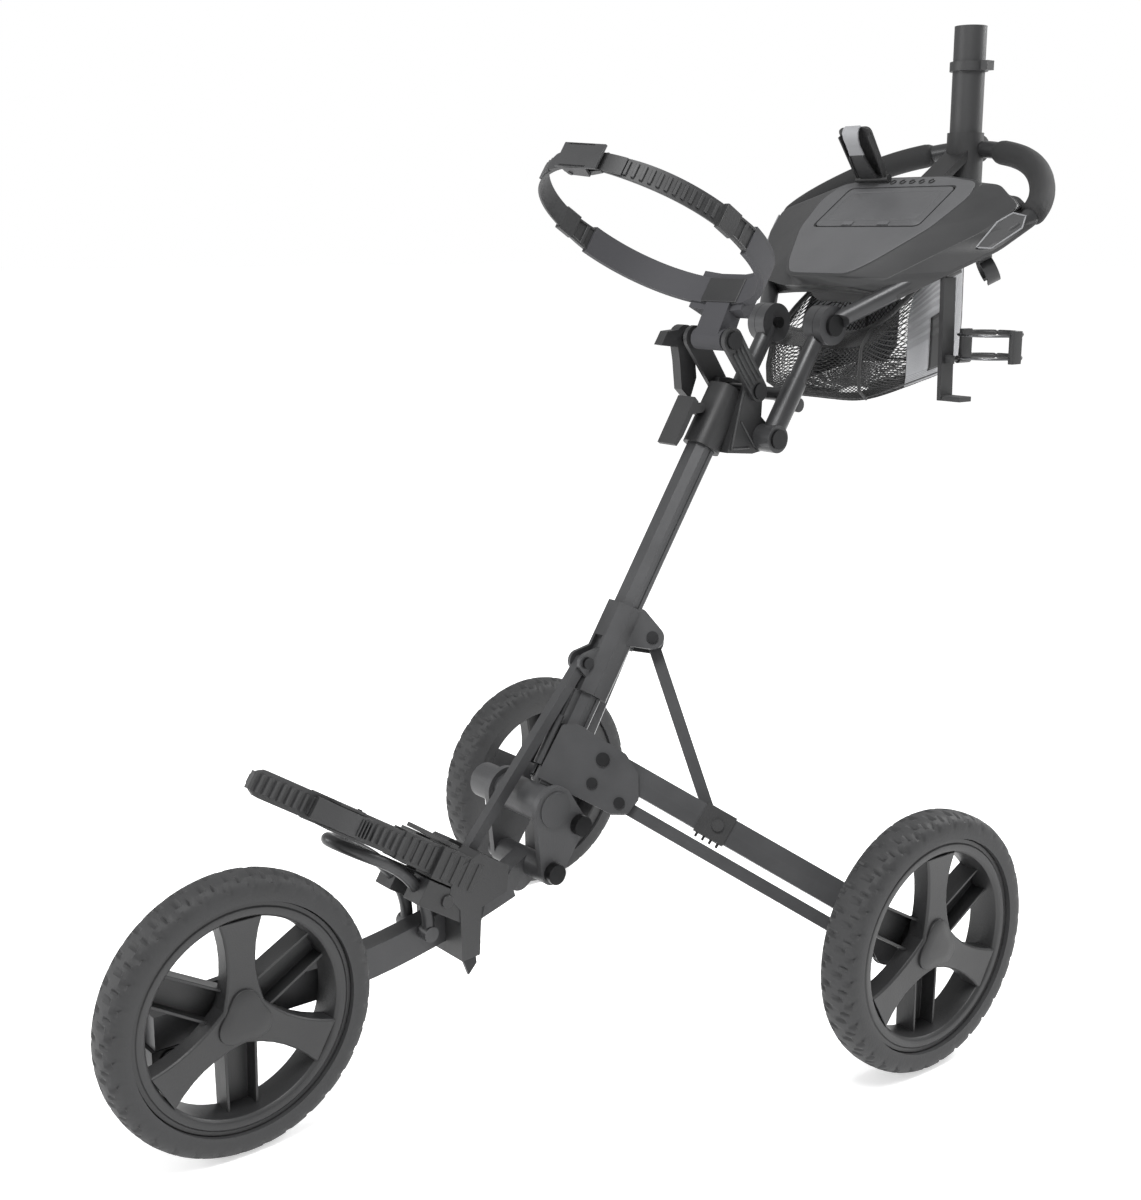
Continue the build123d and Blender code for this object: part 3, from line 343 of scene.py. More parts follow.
def tyre_mesh(place):
    """Crowned tyre with curved cuts across the tread and a notched shoulder."""
    profile = [
        (-0.0235, RIM_RADIUS + 0.0008), (-0.0239, 0.130), (-0.0236, 0.1365), (-0.0222, 0.1418),
        (-0.0192, 0.1455), (-0.0145, 0.1480), (-0.0085, 0.1494), (0.0, 0.1499), (0.0085, 0.1494),
        (0.0145, 0.1480), (0.0192, 0.1455), (0.0222, 0.1418), (0.0236, 0.1365), (0.0239, 0.130),
        (0.0235, RIM_RADIUS + 0.0008), (0.0, RIM_RADIUS + 0.0002),
    ]
    steps = TREADS * 10

    def build(bm):
        sections = []
        for k in range(steps):
            turn = 2 * math.pi * k / steps
            ring = []
            for z, radius in profile:
                share = abs(z) / 0.024
                depth = 0.0
                lean = 1.3 * math.copysign(share ** 1.6, z)
                phase = (turn * TREADS / (2 * math.pi) + lean) % 1.0
                if radius > 0.1400 and share > 0.15 and phase < 0.16:
                    depth = 0.0034
                elif 0.1340 < radius < 0.1400 and phase < 0.16:
                    depth = 0.0016
                r = radius - depth
                ring.append(place @ Vector((r * math.cos(turn), r * math.sin(turn), z)))
            sections.append(ring)
        skin(bm, sections, closed_path=True)

    return mesh_from("tyre", build)


def rim_mesh(place):
    """The rim: a flanged ring with a stepped inner wall."""
    profile = [
        (-0.0198, RIM_RADIUS), (-0.0198, 0.1065), (-0.0185, 0.1048), (-0.004, 0.1036), (0.008, 0.1048),
        (0.0165, 0.1062), (0.0188, 0.1085), (0.0198, 0.1100), (0.0198, 0.1165), (0.0185, 0.1178),
        (0.0185, RIM_RADIUS),
    ]
    return mesh_from("rim", lambda bm: lathe(bm, place, profile, 96))


def spokes_mesh(name, place, first_turn, shares, section):
    """Three spokes, each skinned through its sections from the hub to the rim."""
    def build(bm):
        for k in range(3):
            spoke = place @ Matrix.Rotation(first_turn + 2 * math.pi * k / 3, 4, "Z")
            skin(bm, [[spoke @ Vector(p) for p in section(share)] for share in shares])
    return mesh_from(name, build)


def flush_section(share):
    """Broad spoke with a raised border on the outer face and channel sides behind."""
    x = 0.008 + share * 0.0975
    half = 0.0250 - 0.0010 * share - 0.0085 * (1 - (2 * share - 1) ** 2)
    top = 0.0195 - 0.0025 * math.sin(math.pi * share)
    wall = 0.0032
    return [
        (x, -half, -0.004), (x, -half, top - 0.002), (x, -half + 0.002, top), (x, half - 0.002, top),
        (x, half, top - 0.002), (x, half, -0.004), (x, half - wall, -0.004), (x, half - wall, top - 0.006),
        (x, -half + wall, top - 0.006), (x, -half + wall, -0.004),
    ]


def channel_section(share):
    """Set-back spoke: an open channel facing outwards."""
    x = 0.012 + share * 0.0935
    half = 0.0190 - 0.0015 * share
    wall = 0.003
    return [
        (x, -half, -0.0195), (x, -half, 0.006), (x, -half + wall, 0.006), (x, -half + wall, -0.012),
        (x, half - wall, -0.012), (x, half - wall, 0.006), (x, half, 0.006), (x, half, -0.0195),
    ]


def hub_mesh(place):
    """Hub barrel with a domed rounded-triangle cap."""
    barrel = [
        (-0.0205, 0.0165), (-0.0205, 0.0225), (-0.018, 0.024), (0.014, 0.0255), (0.0165, 0.0245),
        (0.0165, 0.0115), (-0.0205, 0.0115),
    ]
    steps = 48

    def build(bm):
        lathe(bm, place, barrel, steps)
        cap = []
        for scale, z in ((1.0, 0.0160), (1.0, 0.0205), (0.93, 0.0218), (0.5, 0.0226), (0.02, 0.0228)):
            ring = []
            for k in range(steps):
                turn = 2 * math.pi * k / steps
                reach = scale * (0.0275 + 0.0042 * math.cos(3 * (turn - math.pi / 2)))
                ring.append(place @ Vector((reach * math.cos(turn), reach * math.sin(turn), z)))
            cap.append(ring)
        skin(bm, cap)
    return mesh_from("hub", build)


FLUSH_SHARES = (0.0, 0.1, 0.25, 0.4, 0.55, 0.7, 0.85, 1.0)
CHANNEL_SHARES = (0.0, 0.3, 0.7, 1.0)
for wheel, outward in (("left", 1), ("right", -1), ("front", 1)):
    place = wheel_place(f"{wheel}_tyre", outward)
    body = f"{wheel}_road_wheel"
    tyre = add_piece(f"{wheel}_tread_tyre", tyre_mesh(place), TYRE, body, f"{wheel}_tyre")
    tyre.data.set_sharp_from_angle(angle=math.radians(32))
    add_piece(f"{wheel}_rim", rim_mesh(place), HUB_PLASTIC, body, f"{wheel}_wheel", 0.0008)
    flush = spokes_mesh("flush_spokes", place, math.pi / 2, FLUSH_SHARES, flush_section)
    add_piece(f"{wheel}_flush_spokes", flush, HUB_PLASTIC, body, bevel=0.0008)
    set_back = spokes_mesh("channel_spokes", place, -math.pi / 2, CHANNEL_SHARES, channel_section)
    add_piece(f"{wheel}_channel_spokes", set_back, HUB_PLASTIC, body, bevel=0.0006)
    add_piece(f"{wheel}_hub", hub_mesh(place), PLASTIC, body, bevel=0.0006)


# ---------------- bag loops
LOOP_TILT = math.radians(32.1)
LOOP_FORWARD = Vector((0, -math.cos(LOOP_TILT), math.sin(LOOP_TILT)))
LOOP_CENTRE = (0.0, 0.160)

# Loop space: x across, y forwards and up, z down square to the loop.
UPPER_LOOP = leaning_place(LOOP_FORWARD, (0, 0.035 + AXLE_Y, 0.840))
LOWER_LOOP = leaning_place(LOOP_FORWARD, (0, -0.400 + AXLE_Y, 0.229))


def ribbon(bm, path, heights, thickness, place):
    """A flat band on edge. path holds (x, y); heights holds (low, high) at each point."""
    count = len(path)
    sections = []
    for i in range(count):
        a = Vector(path[max(0, i - 1)])
        b = Vector(path[min(count - 1, i + 1)])
        along = (b - a).normalized()
        out = Vector((along.y, -along.x)) * thickness / 2
        point = Vector(path[i])
        low, high = heights[i]
        corner = [
            (point.x - out.x, point.y - out.y, low), (point.x + out.x, point.y + out.y, low),
            (point.x + out.x, point.y + out.y, high), (point.x - out.x, point.y - out.y, high),
        ]
        sections.append([place @ Vector(c) for c in corner])
    skin(bm, sections)


def circle_path(radius, start, end, count):
    """Part of a circle about the loop's centre, measured from its foot."""
    path = []
    for k in range(count + 1):
        turn = start + (end - start) * k / count
        path.append((LOOP_CENTRE[0] + radius * math.sin(turn), LOOP_CENTRE[1] - radius * math.cos(turn)))
    return path


def rungs(bm, path, low, high, thickness, place, step=0.0095, height=0.0030):
    """Small ribs across a band's outer face."""
    run = 0.0
    for a, b in zip(path, path[1:]):
        start, end = Vector(a), Vector(b)
        length = (end - start).length
        along = (end - start).normalized()
        out = Vector((along.y, -along.x))
        while run < length:
            middle = start + along * run + out * (thickness / 2 + height / 2 - 0.0004)
            corner = []
            for u, v in (
                (-0.0026, -height / 2), (0.0026, -height / 2), (0.0017, height / 2), (-0.0017, height / 2),
            ):
                spot = middle + along * u + out * v
                corner.append((spot.x, spot.y))
            prism(bm, corner, low + 0.003, high - 0.003, place)
            run += step
        run -= length


def buckle(bm, place, centre, turn, size=(0.060, 0.016, 0.030)):
    """Ratchet buckle: a base tray, a hinged lever with a ribbed thumb end, and a pin."""
    local = place @ Matrix.Translation(centre) @ Matrix.Rotation(turn, 4, "Z")
    long, deep, tall = (value / 2 for value in size)
    prism(bm, rectangle(-long, long, -deep, -deep + 0.003), -tall, tall, local)
    for low, high in ((-tall, -tall + 0.003), (tall - 0.003, tall)):
        cheek = [
            (-long * 0.5, -deep), (long * 0.8, -deep), (long * 0.7, deep * 0.7), (-long * 0.3, deep * 0.9),
        ]
        prism(bm, cheek, low, high, local)
    lever = [
        (-long * 0.95, 0.0), (-long * 0.3, deep * 0.35), (long * 0.35, deep * 0.55),
        (long * 0.98, deep * 0.2), (long * 0.98, deep * 0.75), (long * 0.3, deep * 1.25),
        (-long * 0.3, deep * 1.1), (-long * 0.98, deep * 0.5),
    ]
    prism(bm, lever, -tall + 0.0035, tall - 0.0035, local)
    for k in range(4):
        x = long * (0.94 - 0.12 * k)
        rib = [
            (x - 0.0012, deep * 0.6), (x + 0.0012, deep * 0.6),
            (x + 0.0008, deep * 1.2), (x - 0.0008, deep * 1.2),
        ]
        prism(bm, rib, -tall + 0.006, tall - 0.006, local)
    pin = [local @ Vector((long * 0.5, deep * 0.3, z)) for z in (-tall - 0.0015, tall + 0.0015)]
    tube(bm, pin, 0.0028, 14)


def upper_strap_mesh():
    place = UPPER_LOOP
    side = math.radians(98)

    def build(bm):
        path = circle_path(0.139, side, 2 * math.pi - side, 84)
        heights = []
        for k in range(len(path)):
            share = k / (len(path) - 1)
            rise = 0.0125 * (1.0 - 0.35 * math.sin(math.pi * share) ** 8)
            heights.append((-rise, rise))
        ribbon(bm, path, heights, 0.0032, place)
        rungs(bm, path[4:60], -0.0115, 0.0115, 0.0032, place)
        tail = circle_path(0.1425, math.radians(150), math.radians(200), 30)
        tip = [(-0.0098, 0.0098), (-0.008, 0.008), (-0.0055, 0.0055), (-0.002, 0.002)]
        tail_heights = [(-0.0105, 0.0105)] * (len(tail) - len(tip)) + tip
        ribbon(bm, tail, tail_heights, 0.0024, place)
        buckle(bm, place, Vector((0.020, 0.299, 0)), math.radians(180 - 8), (0.062, 0.020, 0.030))
    return mesh_from("upper_strap", build)


def upper_saddle_mesh():
    """Two curved wings on a neck, each wing thickened along its edges with windows between ribs."""
    place = UPPER_LOOP

    def build(bm):
        side = math.radians(99)
        path = circle_path(0.1395, -side, side, 96)
        heights = []
        for k in range(len(path)):
            share = abs(2 * k / (len(path) - 1) - 1)
            rise = 0.0165 - 0.0045 * share ** 4
            heights.append((-rise, rise))
        ribbon(bm, path, heights, 0.0034, place)
        for edge in (-1, 1):
            lips = []
            for low, high in heights:
                top = high if edge > 0 else low
                lips.append(tuple(sorted((top - edge * 0.003, top))))
            ribbon(bm, path, lips, 0.0070, place)
        for k in range(6, 96, 7):
            if abs(k - 48) < 14:
                continue
            rib_heights = [(heights[k][0] + 0.002, heights[k][1] - 0.002)] * 2
            ribbon(bm, path[k:k + 2], rib_heights, 0.0066, place)
        for x_side in (-1, 1):
            x = x_side * 0.1385
            prism(bm, rectangle(x - 0.0042, x + 0.0042, 0.166, 0.190), -0.0145, 0.0145, place)
        base = [
            (-0.025, 0.004), (0.025, 0.004), (0.034, 0.022), (0.030, 0.030), (-0.030, 0.030), (-0.034, 0.022),
        ]
        prism(bm, base, -0.016, 0.016, place)
    return mesh_from("upper_saddle", build)


add_piece("upper_saddle_wings", upper_saddle_mesh(), PLASTIC, "cradle", bevel=0.0009)
add_piece("upper_ladder_strap", upper_strap_mesh(), STRAP, "cradle", "upper_strap", 0.0004)


def lower_strap_mesh():
    place = LOWER_LOOP

    def build(bm):
        near = [
            (0.035, 0.034), (0.035, 0.10), (0.0345, 0.15), (0.033, 0.19), (0.030, 0.225), (0.0275, 0.26),
            (0.0265, 0.298),
        ]
        far = [
            (0.016, 0.034), (0.016, 0.10), (0.0165, 0.15), (0.018, 0.19), (0.0205, 0.225), (0.0225, 0.26),
            (0.0235, 0.298),
        ]
        for path in (near, far):
            fine = []
            for a, b in zip(path, path[1:]):
                for k in range(6):
                    fine.append((a[0] + (b[0] - a[0]) * k / 6, a[1] + (b[1] - a[1]) * k / 6))
            fine.append(path[-1])
            heights = []
            for k in range(len(fine)):
                share = k / (len(fine) - 1)
                rise = 0.0145 if share < 0.93 else 0.0145 - 0.010 * ((share - 0.93) / 0.07) ** 2
                heights.append((-rise, rise))
            ribbon(bm, fine, heights, 0.0030, place)
            rungs(bm, fine[4:], -0.0125, 0.0125, 0.0030, place)
        buckle(bm, place, Vector((0.036, 0.186, 0)), math.radians(-90), (0.074, 0.024, 0.031))
    return mesh_from("lower_strap", build)


add_piece("lower_ladder_strap", lower_strap_mesh(), STRAP, "arm", "lower_strap", 0.0004)


def lower_saddle_mesh():
    """Two moulded housings beside the arm with ribbed outer faces, a bridge over it and strap roots."""
    place = LOWER_LOOP

    def build(bm):
        for x_side in (1, -1):
            low, high = sorted((x_side * 0.0135, x_side * 0.0440))
            slant = 0.001 if x_side > 0 else 0.0
            outline = [(low, -0.020), (high, -0.020), (high + slant, 0.034), (high, 0.046), (low, 0.046)]
            for band_low, band_high in ((-0.018, 0.020), (0.022, 0.052)):
                prism(bm, outline, band_low, band_high, place)
            for k in range(4):
                y = -0.014 + 0.014 * k
                x = x_side * 0.0440
                near, far = sorted((x - x_side * 0.001, x + x_side * 0.0022))
                prism(bm, rectangle(near, far, y, y + 0.007), -0.015, 0.017, place)
            bolt = [place @ Vector((x_side * reach, 0.012, 0.036)) for reach in (0.0420, 0.0475)]
            tube(bm, bolt, 0.0075, 18)
        prism(bm, rectangle(-0.044, 0.044, 0.028, 0.040), -0.024, -0.019, place)
        for x in (0.0162, 0.0350):
            root = [(x - 0.0045, 0.030), (x + 0.0045, 0.030), (x + 0.0035, 0.098), (x - 0.0035, 0.098)]
            prism(bm, root, -0.0165, 0.0165, place)
            for k in range(4):
                y = 0.050 + 0.011 * k
                prism(bm, rectangle(x + 0.0030, x + 0.0056, y, y + 0.0055), -0.013, 0.013, place)
    return mesh_from("lower_saddle", build)


add_piece("lower_saddle_details", lower_saddle_mesh(), PLASTIC, "arm", bevel=0.0008)


def link_ribs_mesh():
    """Ribs and edge beads on the outer faces of the bracket links and hinge block."""
    def build(bm):
        top, foot = Vector((-0.005 + AXLE_Y, 0.798)), Vector((0.040 + AXLE_Y, 0.736))
        run = (foot - top).normalized()
        out = Vector((-run.y, run.x))
        for side in (1, -1):
            x = side * 0.0366
            for away in (-0.0095, -0.0035, 0.0035, 0.0095):
                a, b = top + run * 0.013 + out * away, foot - run * 0.013 + out * away
                tube(bm, [(x, a.x, a.y), (x, b.x, b.y)], 0.0013, 8)
            x = side * 0.0306
            for (y0, z0), (y1, z1) in (
                ((0.000, 0.668), (0.020, 0.742)), ((0.020, 0.742), (0.052, 0.742)),
                ((0.000, 0.668), (0.030, 0.668)), ((0.016, 0.700), (0.040, 0.668)),
            ):
                tube(bm, [(x, y0 + AXLE_Y, z0), (x, y1 + AXLE_Y, z1)], 0.0014, 8)
    return mesh_from("link_ribs", build)


add_piece("link_ribs", link_ribs_mesh(), SIDE_PLASTIC, "frame")

# ---------------- handle
HANDLE_RISE = math.radians(34.5)
BEND = pivot("handle_tilt")

# Handle space: x across, y along the handle, z over it.
HANDLE = leaning_place(Vector((0, math.cos(HANDLE_RISE), math.sin(HANDLE_RISE))), (0, BEND.y, BEND.z))


def natural_spline(points, steps):
    """A smooth curve through flat points, with chord-length spacing and free ends."""
    count = len(points)
    knots = [0.0]
    for a, b in zip(points, points[1:]):
        knots.append(knots[-1] + math.dist(a, b))
    bends = []
    for axis in (0, 1):
        values = [p[axis] for p in points]
        gaps = [knots[i + 1] - knots[i] for i in range(count - 1)]
        diagonal, right_side = [1.0], [0.0]
        for i in range(1, count - 1):
            slope_before = (values[i] - values[i - 1]) / gaps[i - 1]
            slope_step = 6 * ((values[i + 1] - values[i]) / gaps[i] - slope_before)
            share = gaps[i - 1] / diagonal[-1] if i > 1 else 0.0
            diagonal.append(2 * (gaps[i - 1] + gaps[i]) - share * (gaps[i - 1] if i > 1 else 0.0))
            right_side.append(slope_step - share * right_side[-1])
        bend = [0.0] * count
        for i in range(count - 2, 0, -1):
            bend[i] = (right_side[i] - gaps[i] * bend[i + 1]) / diagonal[i]
        bends.append((values, gaps, bend))
    curve = []
    for i in range(count - 1):
        for k in range(steps + (i == count - 2)):
            u = k / steps
            spot = []
            for values, gaps, bend in bends:
                w = 1 - u
                cube = ((w ** 3 - w) * bend[i] + (u ** 3 - u) * bend[i + 1]) * gaps[i] ** 2 / 6
                spot.append(w * values[i] + u * values[i + 1] + cube)
            curve.append(spot)
    return curve


def grips_mesh():
    """Foam sleeves over both bends with a rounded lip at each end."""
    guide = [(57, 4), (96.7, 60), (136.3, 116), (176, 172), (200, 228), (172, 300), (100, 362), (0, 388)]
    fine = [Vector((x / 1000, y / 1000)) for x, y in natural_spline(guide, 40)]
    lengths = [0.0]
    for a, b in zip(fine, fine[1:]):
        lengths.append(lengths[-1] + (b - a).length)
    covered = [spot for spot, run in zip(fine, lengths) if 0.49 <= run / lengths[-1] <= 0.90][::2]

    def build(bm):
        for side in (1, -1):
            sections = []
            last = len(covered) - 1
            for k, spot in enumerate(covered):
                a, b = covered[max(0, k - 1)], covered[min(last, k + 1)]
                along = Vector((side * (b.x - a.x), b.y - a.y, 0)).normalized()
                out = Vector((along.y, -along.x, 0))
                end = min(k, last - k)
                swell = 0.0155 - (0.0030 if end == 0 else 0.0008 if end == 1 else 0.0)
                centre = Vector((side * spot.x, spot.y, 0))
                ring = []
                for m in range(28):
                    turn = 2 * math.pi * m / 28
                    spoke = math.cos(turn) * out + math.sin(turn) * Vector((0, 0, 1))
                    ring.append(HANDLE @ (centre + swell * spoke))
                sections.append(ring)
            skin(bm, sections)
    return mesh_from("grips", build)


add_piece("foam_grips", grips_mesh(), FOAM, "handle", "handle_grips")


def resampled(outline, count):
    """Points at even steps round a closed outline, so two outlines can be joined."""
    lengths = []
    total = 0.0
    for a, b in zip(outline, outline[1:] + outline[:1]):
        lengths.append(total)
        total += (Vector(b) - Vector(a)).length
    lengths.append(total)
    closed = outline + [outline[0]]
    points = []
    for k in range(count):
        want = total * k / count
        i = max(j for j in range(len(lengths) - 1) if lengths[j] <= want + 1e-9)
        a, b = Vector(closed[i]), Vector(closed[i + 1])
        span = lengths[i + 1] - lengths[i]
        points.append(a + (b - a) * ((want - lengths[i]) / span if span else 0))
    return points


def rounded(outline, radius, count=5):
    """Rounds every corner of a closed outline with a small curve."""
    points = []
    total = len(outline)
    for i in range(total):
        a, b, c = Vector(outline[i - 1]), Vector(outline[i]), Vector(outline[(i + 1) % total])
        back = (a - b).normalized() * min(radius, (a - b).length * 0.45)
        ahead = (c - b).normalized() * min(radius, (c - b).length * 0.45)
        for k in range(count + 1):
            t = k / count
            points.append((1 - t) ** 2 * (b + back) + 2 * t * (1 - t) * b + t * t * (b + ahead))
    return [(p.x, p.y) for p in points]


CONSOLE_FOOT = [(0, 74), (62, 70), (114, 62), (197, 166), (216, 226), (152, 276), (60, 286)]
CONSOLE_SHOULDER = [(0, 56), (58, 52), (98, 64), (178, 168), (196, 222), (136, 270), (60, 283)]
CONSOLE_TOP = [(0, 60), (50, 60), (72, 86), (112, 160), (126, 228), (116, 262), (56, 276)]
LID_CENTRE = (0.0, 0.207)
LID_HALF = (0.088, 0.043)
OUTLINE_POINTS = 160


def full_outline(half, radius):
    """A whole outline from its +X half: rounded corners, even points, starting at the middle front."""
    metres = [(x / 1000, y / 1000) for x, y in half]
    outline = metres + [(-x, y) for x, y in reversed(metres[1:])]
    curve = rounded(outline, radius)
    start = min(range(len(curve)), key=lambda i: (round(curve[i][1], 5), abs(curve[i][0])))
    return resampled(curve[start:] + curve[:start], OUTLINE_POINTS)


def scaled(points, amount, centre=(0.0, 0.175)):
    middle = Vector(centre)
    return [middle + (p - middle) * amount for p in points]


def at_height(points, height):
    return [HANDLE @ Vector((p.x, p.y, height)) for p in points]


def lid_outline(grow):
    near = (LID_CENTRE[1] - LID_HALF[1] - grow) * 1000
    far = (LID_CENTRE[1] + LID_HALF[1] + grow) * 1000
    side = (LID_HALF[0] + grow) * 1000
    return full_outline([(0, near), (side, near), (side, far)], 0.010)


def console_mesh():
    foot = full_outline(CONSOLE_FOOT, 0.010)
    shoulder = full_outline(CONSOLE_SHOULDER, 0.010)
    top = full_outline(CONSOLE_TOP, 0.012)
    well = lid_outline(0.0006)

    def build(bm):
        levels = [
            (scaled(foot, 0.92), 0.0020), (scaled(foot, 0.96), -0.0050), (scaled(foot, 0.99), -0.0060),
            (foot, -0.0045), (foot, -0.0010), (scaled(shoulder, 1.004), 0.0190), (shoulder, 0.0200),
            (scaled(top, 1.012), 0.0297), (top, 0.0305), (scaled(top, 0.985), 0.0309), (well, 0.0309),
            (well, 0.0266),
        ]
        skin(bm, [at_height(points, height) for points, height in levels])
    return mesh_from("console", build)


def console_top_mesh():
    """Raised top skin round the lid."""
    top = full_outline(CONSOLE_TOP, 0.012)
    well = lid_outline(0.0022)

    def build(bm):
        levels = [
            (scaled(top, 0.972), 0.0300), (scaled(top, 0.972), 0.0314), (scaled(top, 0.962), 0.0320),
            (well, 0.0320), (well, 0.0300),
        ]
        skin(bm, [at_height(points, height) for points, height in levels], closed_path=True)
    return mesh_from("console_top", build)


def wall_point(side, along, height, lift):
    """A point on the console's side wall: along it from front to rear, and up it, both from 0 to 1."""
    foot = Vector((0.1830, 0.150)).lerp(Vector((0.2120, 0.2165)), along)
    crown = Vector((0.1650, 0.150)).lerp(Vector((0.1935, 0.2140)), along)
    spot = foot.lerp(crown, height)
    return HANDLE @ Vector((side * (spot.x + 0.0022 + lift), spot.y, -0.001 + 0.0205 * height + 0.5 * lift))


PANEL_CORNERS = [(0.02, 0.50), (0.62, 0.97), (0.93, 0.94), (1.02, 0.50), (0.80, 0.12), (0.18, 0.08)]


def side_panel_mesh():
    """Sunk-looking panels on both side walls."""
    def build(bm):
        for side in (1, -1):
            skin(bm, [[wall_point(side, a, h, lift) for a, h in PANEL_CORNERS] for lift in (-0.0015, 0.0006)])
    return mesh_from("side_panels", build)


def side_panel_edges_mesh():
    """Pale beads round the side panels."""
    def build(bm):
        for side in (1, -1):
            points = []
            for (a0, h0), (a1, h1) in zip(PANEL_CORNERS, PANEL_CORNERS[1:] + PANEL_CORNERS[:1]):
                for k in range(6):
                    u = k / 6
                    points.append(wall_point(side, a0 + (a1 - a0) * u, h0 + (h1 - h0) * u, 0.0007))
            tube(bm, points, 0.0011, 8, closed=True)
    return mesh_from("side_panel_edges", build)


def lid_mesh():
    """Lid with a rolled edge, a finger notch and two latch ribs."""
    def build(bm):
        levels = [
            (lid_outline(-0.0012), 0.0272), (lid_outline(-0.0006), 0.0280), (lid_outline(-0.0006), 0.0316),
            (lid_outline(-0.0016), 0.0325), (lid_outline(-0.0100), 0.0327), (lid_outline(-0.0108), 0.0321),
            (lid_outline(-0.0128), 0.0321), (lid_outline(-0.0136), 0.0327), (lid_outline(-0.0300), 0.0329),
        ]
        skin(bm, [at_height(points, height) for points, height in levels])
        for x in (-0.030, 0.030):
            latch = [(x - 0.009, 0.1645), (x + 0.009, 0.1645), (x + 0.008, 0.1720), (x - 0.008, 0.1720)]
            prism(bm, latch, 0.0322, 0.0340, HANDLE)
    return mesh_from("lid", build)


def tee_holders_mesh():
    """Rings for tees along the console's rear edge."""
    profile = [(0.0312, 0.0046), (0.0332, 0.0046), (0.0336, 0.0040), (0.0332, 0.0030), (0.0312, 0.0028)]

    def build(bm):
        for x in (-0.024, -0.008, 0.008, 0.024, 0.040):
            lathe(bm, HANDLE @ Matrix.Translation((x, 0.262, 0)), profile, 20)
    return mesh_from("tee_holders", build)


def tray_mesh():
    """Rounded tray under the console."""
    def build(bm):
        outer = [Vector(p) for p in rounded(rectangle(-0.050, 0.050, 0.075, 0.225), 0.014)]
        centre = (0.0, 0.150)
        levels = [
            (scaled(outer, 0.98, centre), 0.0140), (outer, 0.0040), (scaled(outer, 0.97, centre), -0.0180),
            (scaled(outer, 0.92, centre), -0.0262), (scaled(outer, 0.80, centre), -0.0270),
        ]
        skin(bm, [at_height(points, height) for points, height in levels])
    return mesh_from("tray", build)


add_piece("console_shell", console_mesh(), SIDE_PLASTIC, "handle", "console_body", 0.0006)
for piece_name, mesh, material in (
    ("console_top_skin", console_top_mesh(), LID_PLASTIC),
    ("console_side_panels", side_panel_mesh(), PANEL_PLASTIC),
    ("console_side_panel_edges", side_panel_edges_mesh(), TRIM),
    ("tee_holders", tee_holders_mesh(), PLASTIC),
    ("console_tray", tray_mesh(), SIDE_PLASTIC),
):
    add_piece(piece_name, mesh, material, "handle", bevel=0.0004)
add_piece("console_lid_shell", lid_mesh(), LID_PLASTIC, "lid", "console_lid", 0.0004)

RING_LOW, RING_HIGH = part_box("cup_ring")
RING_CENTRE = Vector((0.1985, (RING_LOW[1] + RING_HIGH[1]) / 2, 0))


def ring_arc(radius, start, end, height, count=30):
    points = []
    for k in range(count + 1):
        turn = math.radians(start + (end - start) * k / count)
        across, fore = radius * math.cos(turn), radius * math.sin(turn)
        points.append((RING_CENTRE.x + across, RING_CENTRE.y + fore, height))
    return points


def cup_wires_mesh():
    """Two spring wires across the front of the cup holder."""
    def build(bm):
        for height in (RING_LOW[2] + 0.009, RING_HIGH[2] - 0.007):
            tube(bm, ring_arc(0.0372, -176, 6, height), 0.0015, 10)
    return mesh_from("cup_wires", build)


def cup_arms_mesh():
    """Moulded arms behind the cup, with an upright at each end and the hinge knuckle."""
    def build(bm):
        low, high = RING_LOW[2] + 0.009, RING_HIGH[2] - 0.006
        for height in (low, high):
            tube(bm, ring_arc(0.0362, 4, 182, height), 0.0034, 12)
        for turn, reach in ((0, 0.0385), (180, 0.0350)):
            x = RING_CENTRE.x + reach * math.cos(math.radians(turn))
            y = RING_CENTRE.y
            post = rectangle(x - 0.0042, x + 0.0030, y - 0.009, y + 0.009)
            prism(bm, rounded(post, 0.002, 3), low - 0.006, high + 0.005)
        hinge = pivot("cup_ring_fold")
        knuckle = [(hinge.x, RING_CENTRE.y + reach, hinge.z) for reach in (-0.011, 0.011)]
        tube(bm, knuckle, 0.0048, 24)
    return mesh_from("cup_arms", build)


add_piece("cup_wires", cup_wires_mesh(), STEEL, "cup")
add_piece("cup_arms", cup_arms_mesh(), PLASTIC, "cup", "cup_ring", 0.0005)


CLIP_X = -0.0575


def clip_plate_mesh():
    """The clip's back plate with rounded top corners, side flanges and its hinge barrel."""
    def build(bm):
        outline = rounded([(-0.0245, 0.041), (0.0245, 0.041), (0.0275, 0.1135), (-0.0275, 0.1135)], 0.009, 6)
        sections = []
        for a, grow in ((0.2675, 0.985), (0.2670, 1.0), (0.2640, 1.0), (0.2635, 0.985)):
            sections.append([
                HANDLE @ Vector((CLIP_X + x * grow, a, 0.077 + (o - 0.077) * grow)) for x, o in outline
            ])
        skin(bm, sections)
        for x_side in (1, -1):
            x = CLIP_X + x_side * 0.0235
            top = x + x_side * 0.002
            edge = [(x - 0.0012, 0.042), (x + 0.0012, 0.042), (top + 0.0012, 0.104), (top - 0.0012, 0.104)]
            rings = [[HANDLE @ Vector((px, a, o)) for px, o in edge] for a in (0.2585, 0.2645)]
            skin(bm, rings)
        barrel = [HANDLE @ Vector((x, 0.264, 0.0375)) for x in (-0.0850, -0.0300)]
        tube(bm, barrel, 0.0050, 24)
    return mesh_from("clip_plate", build)


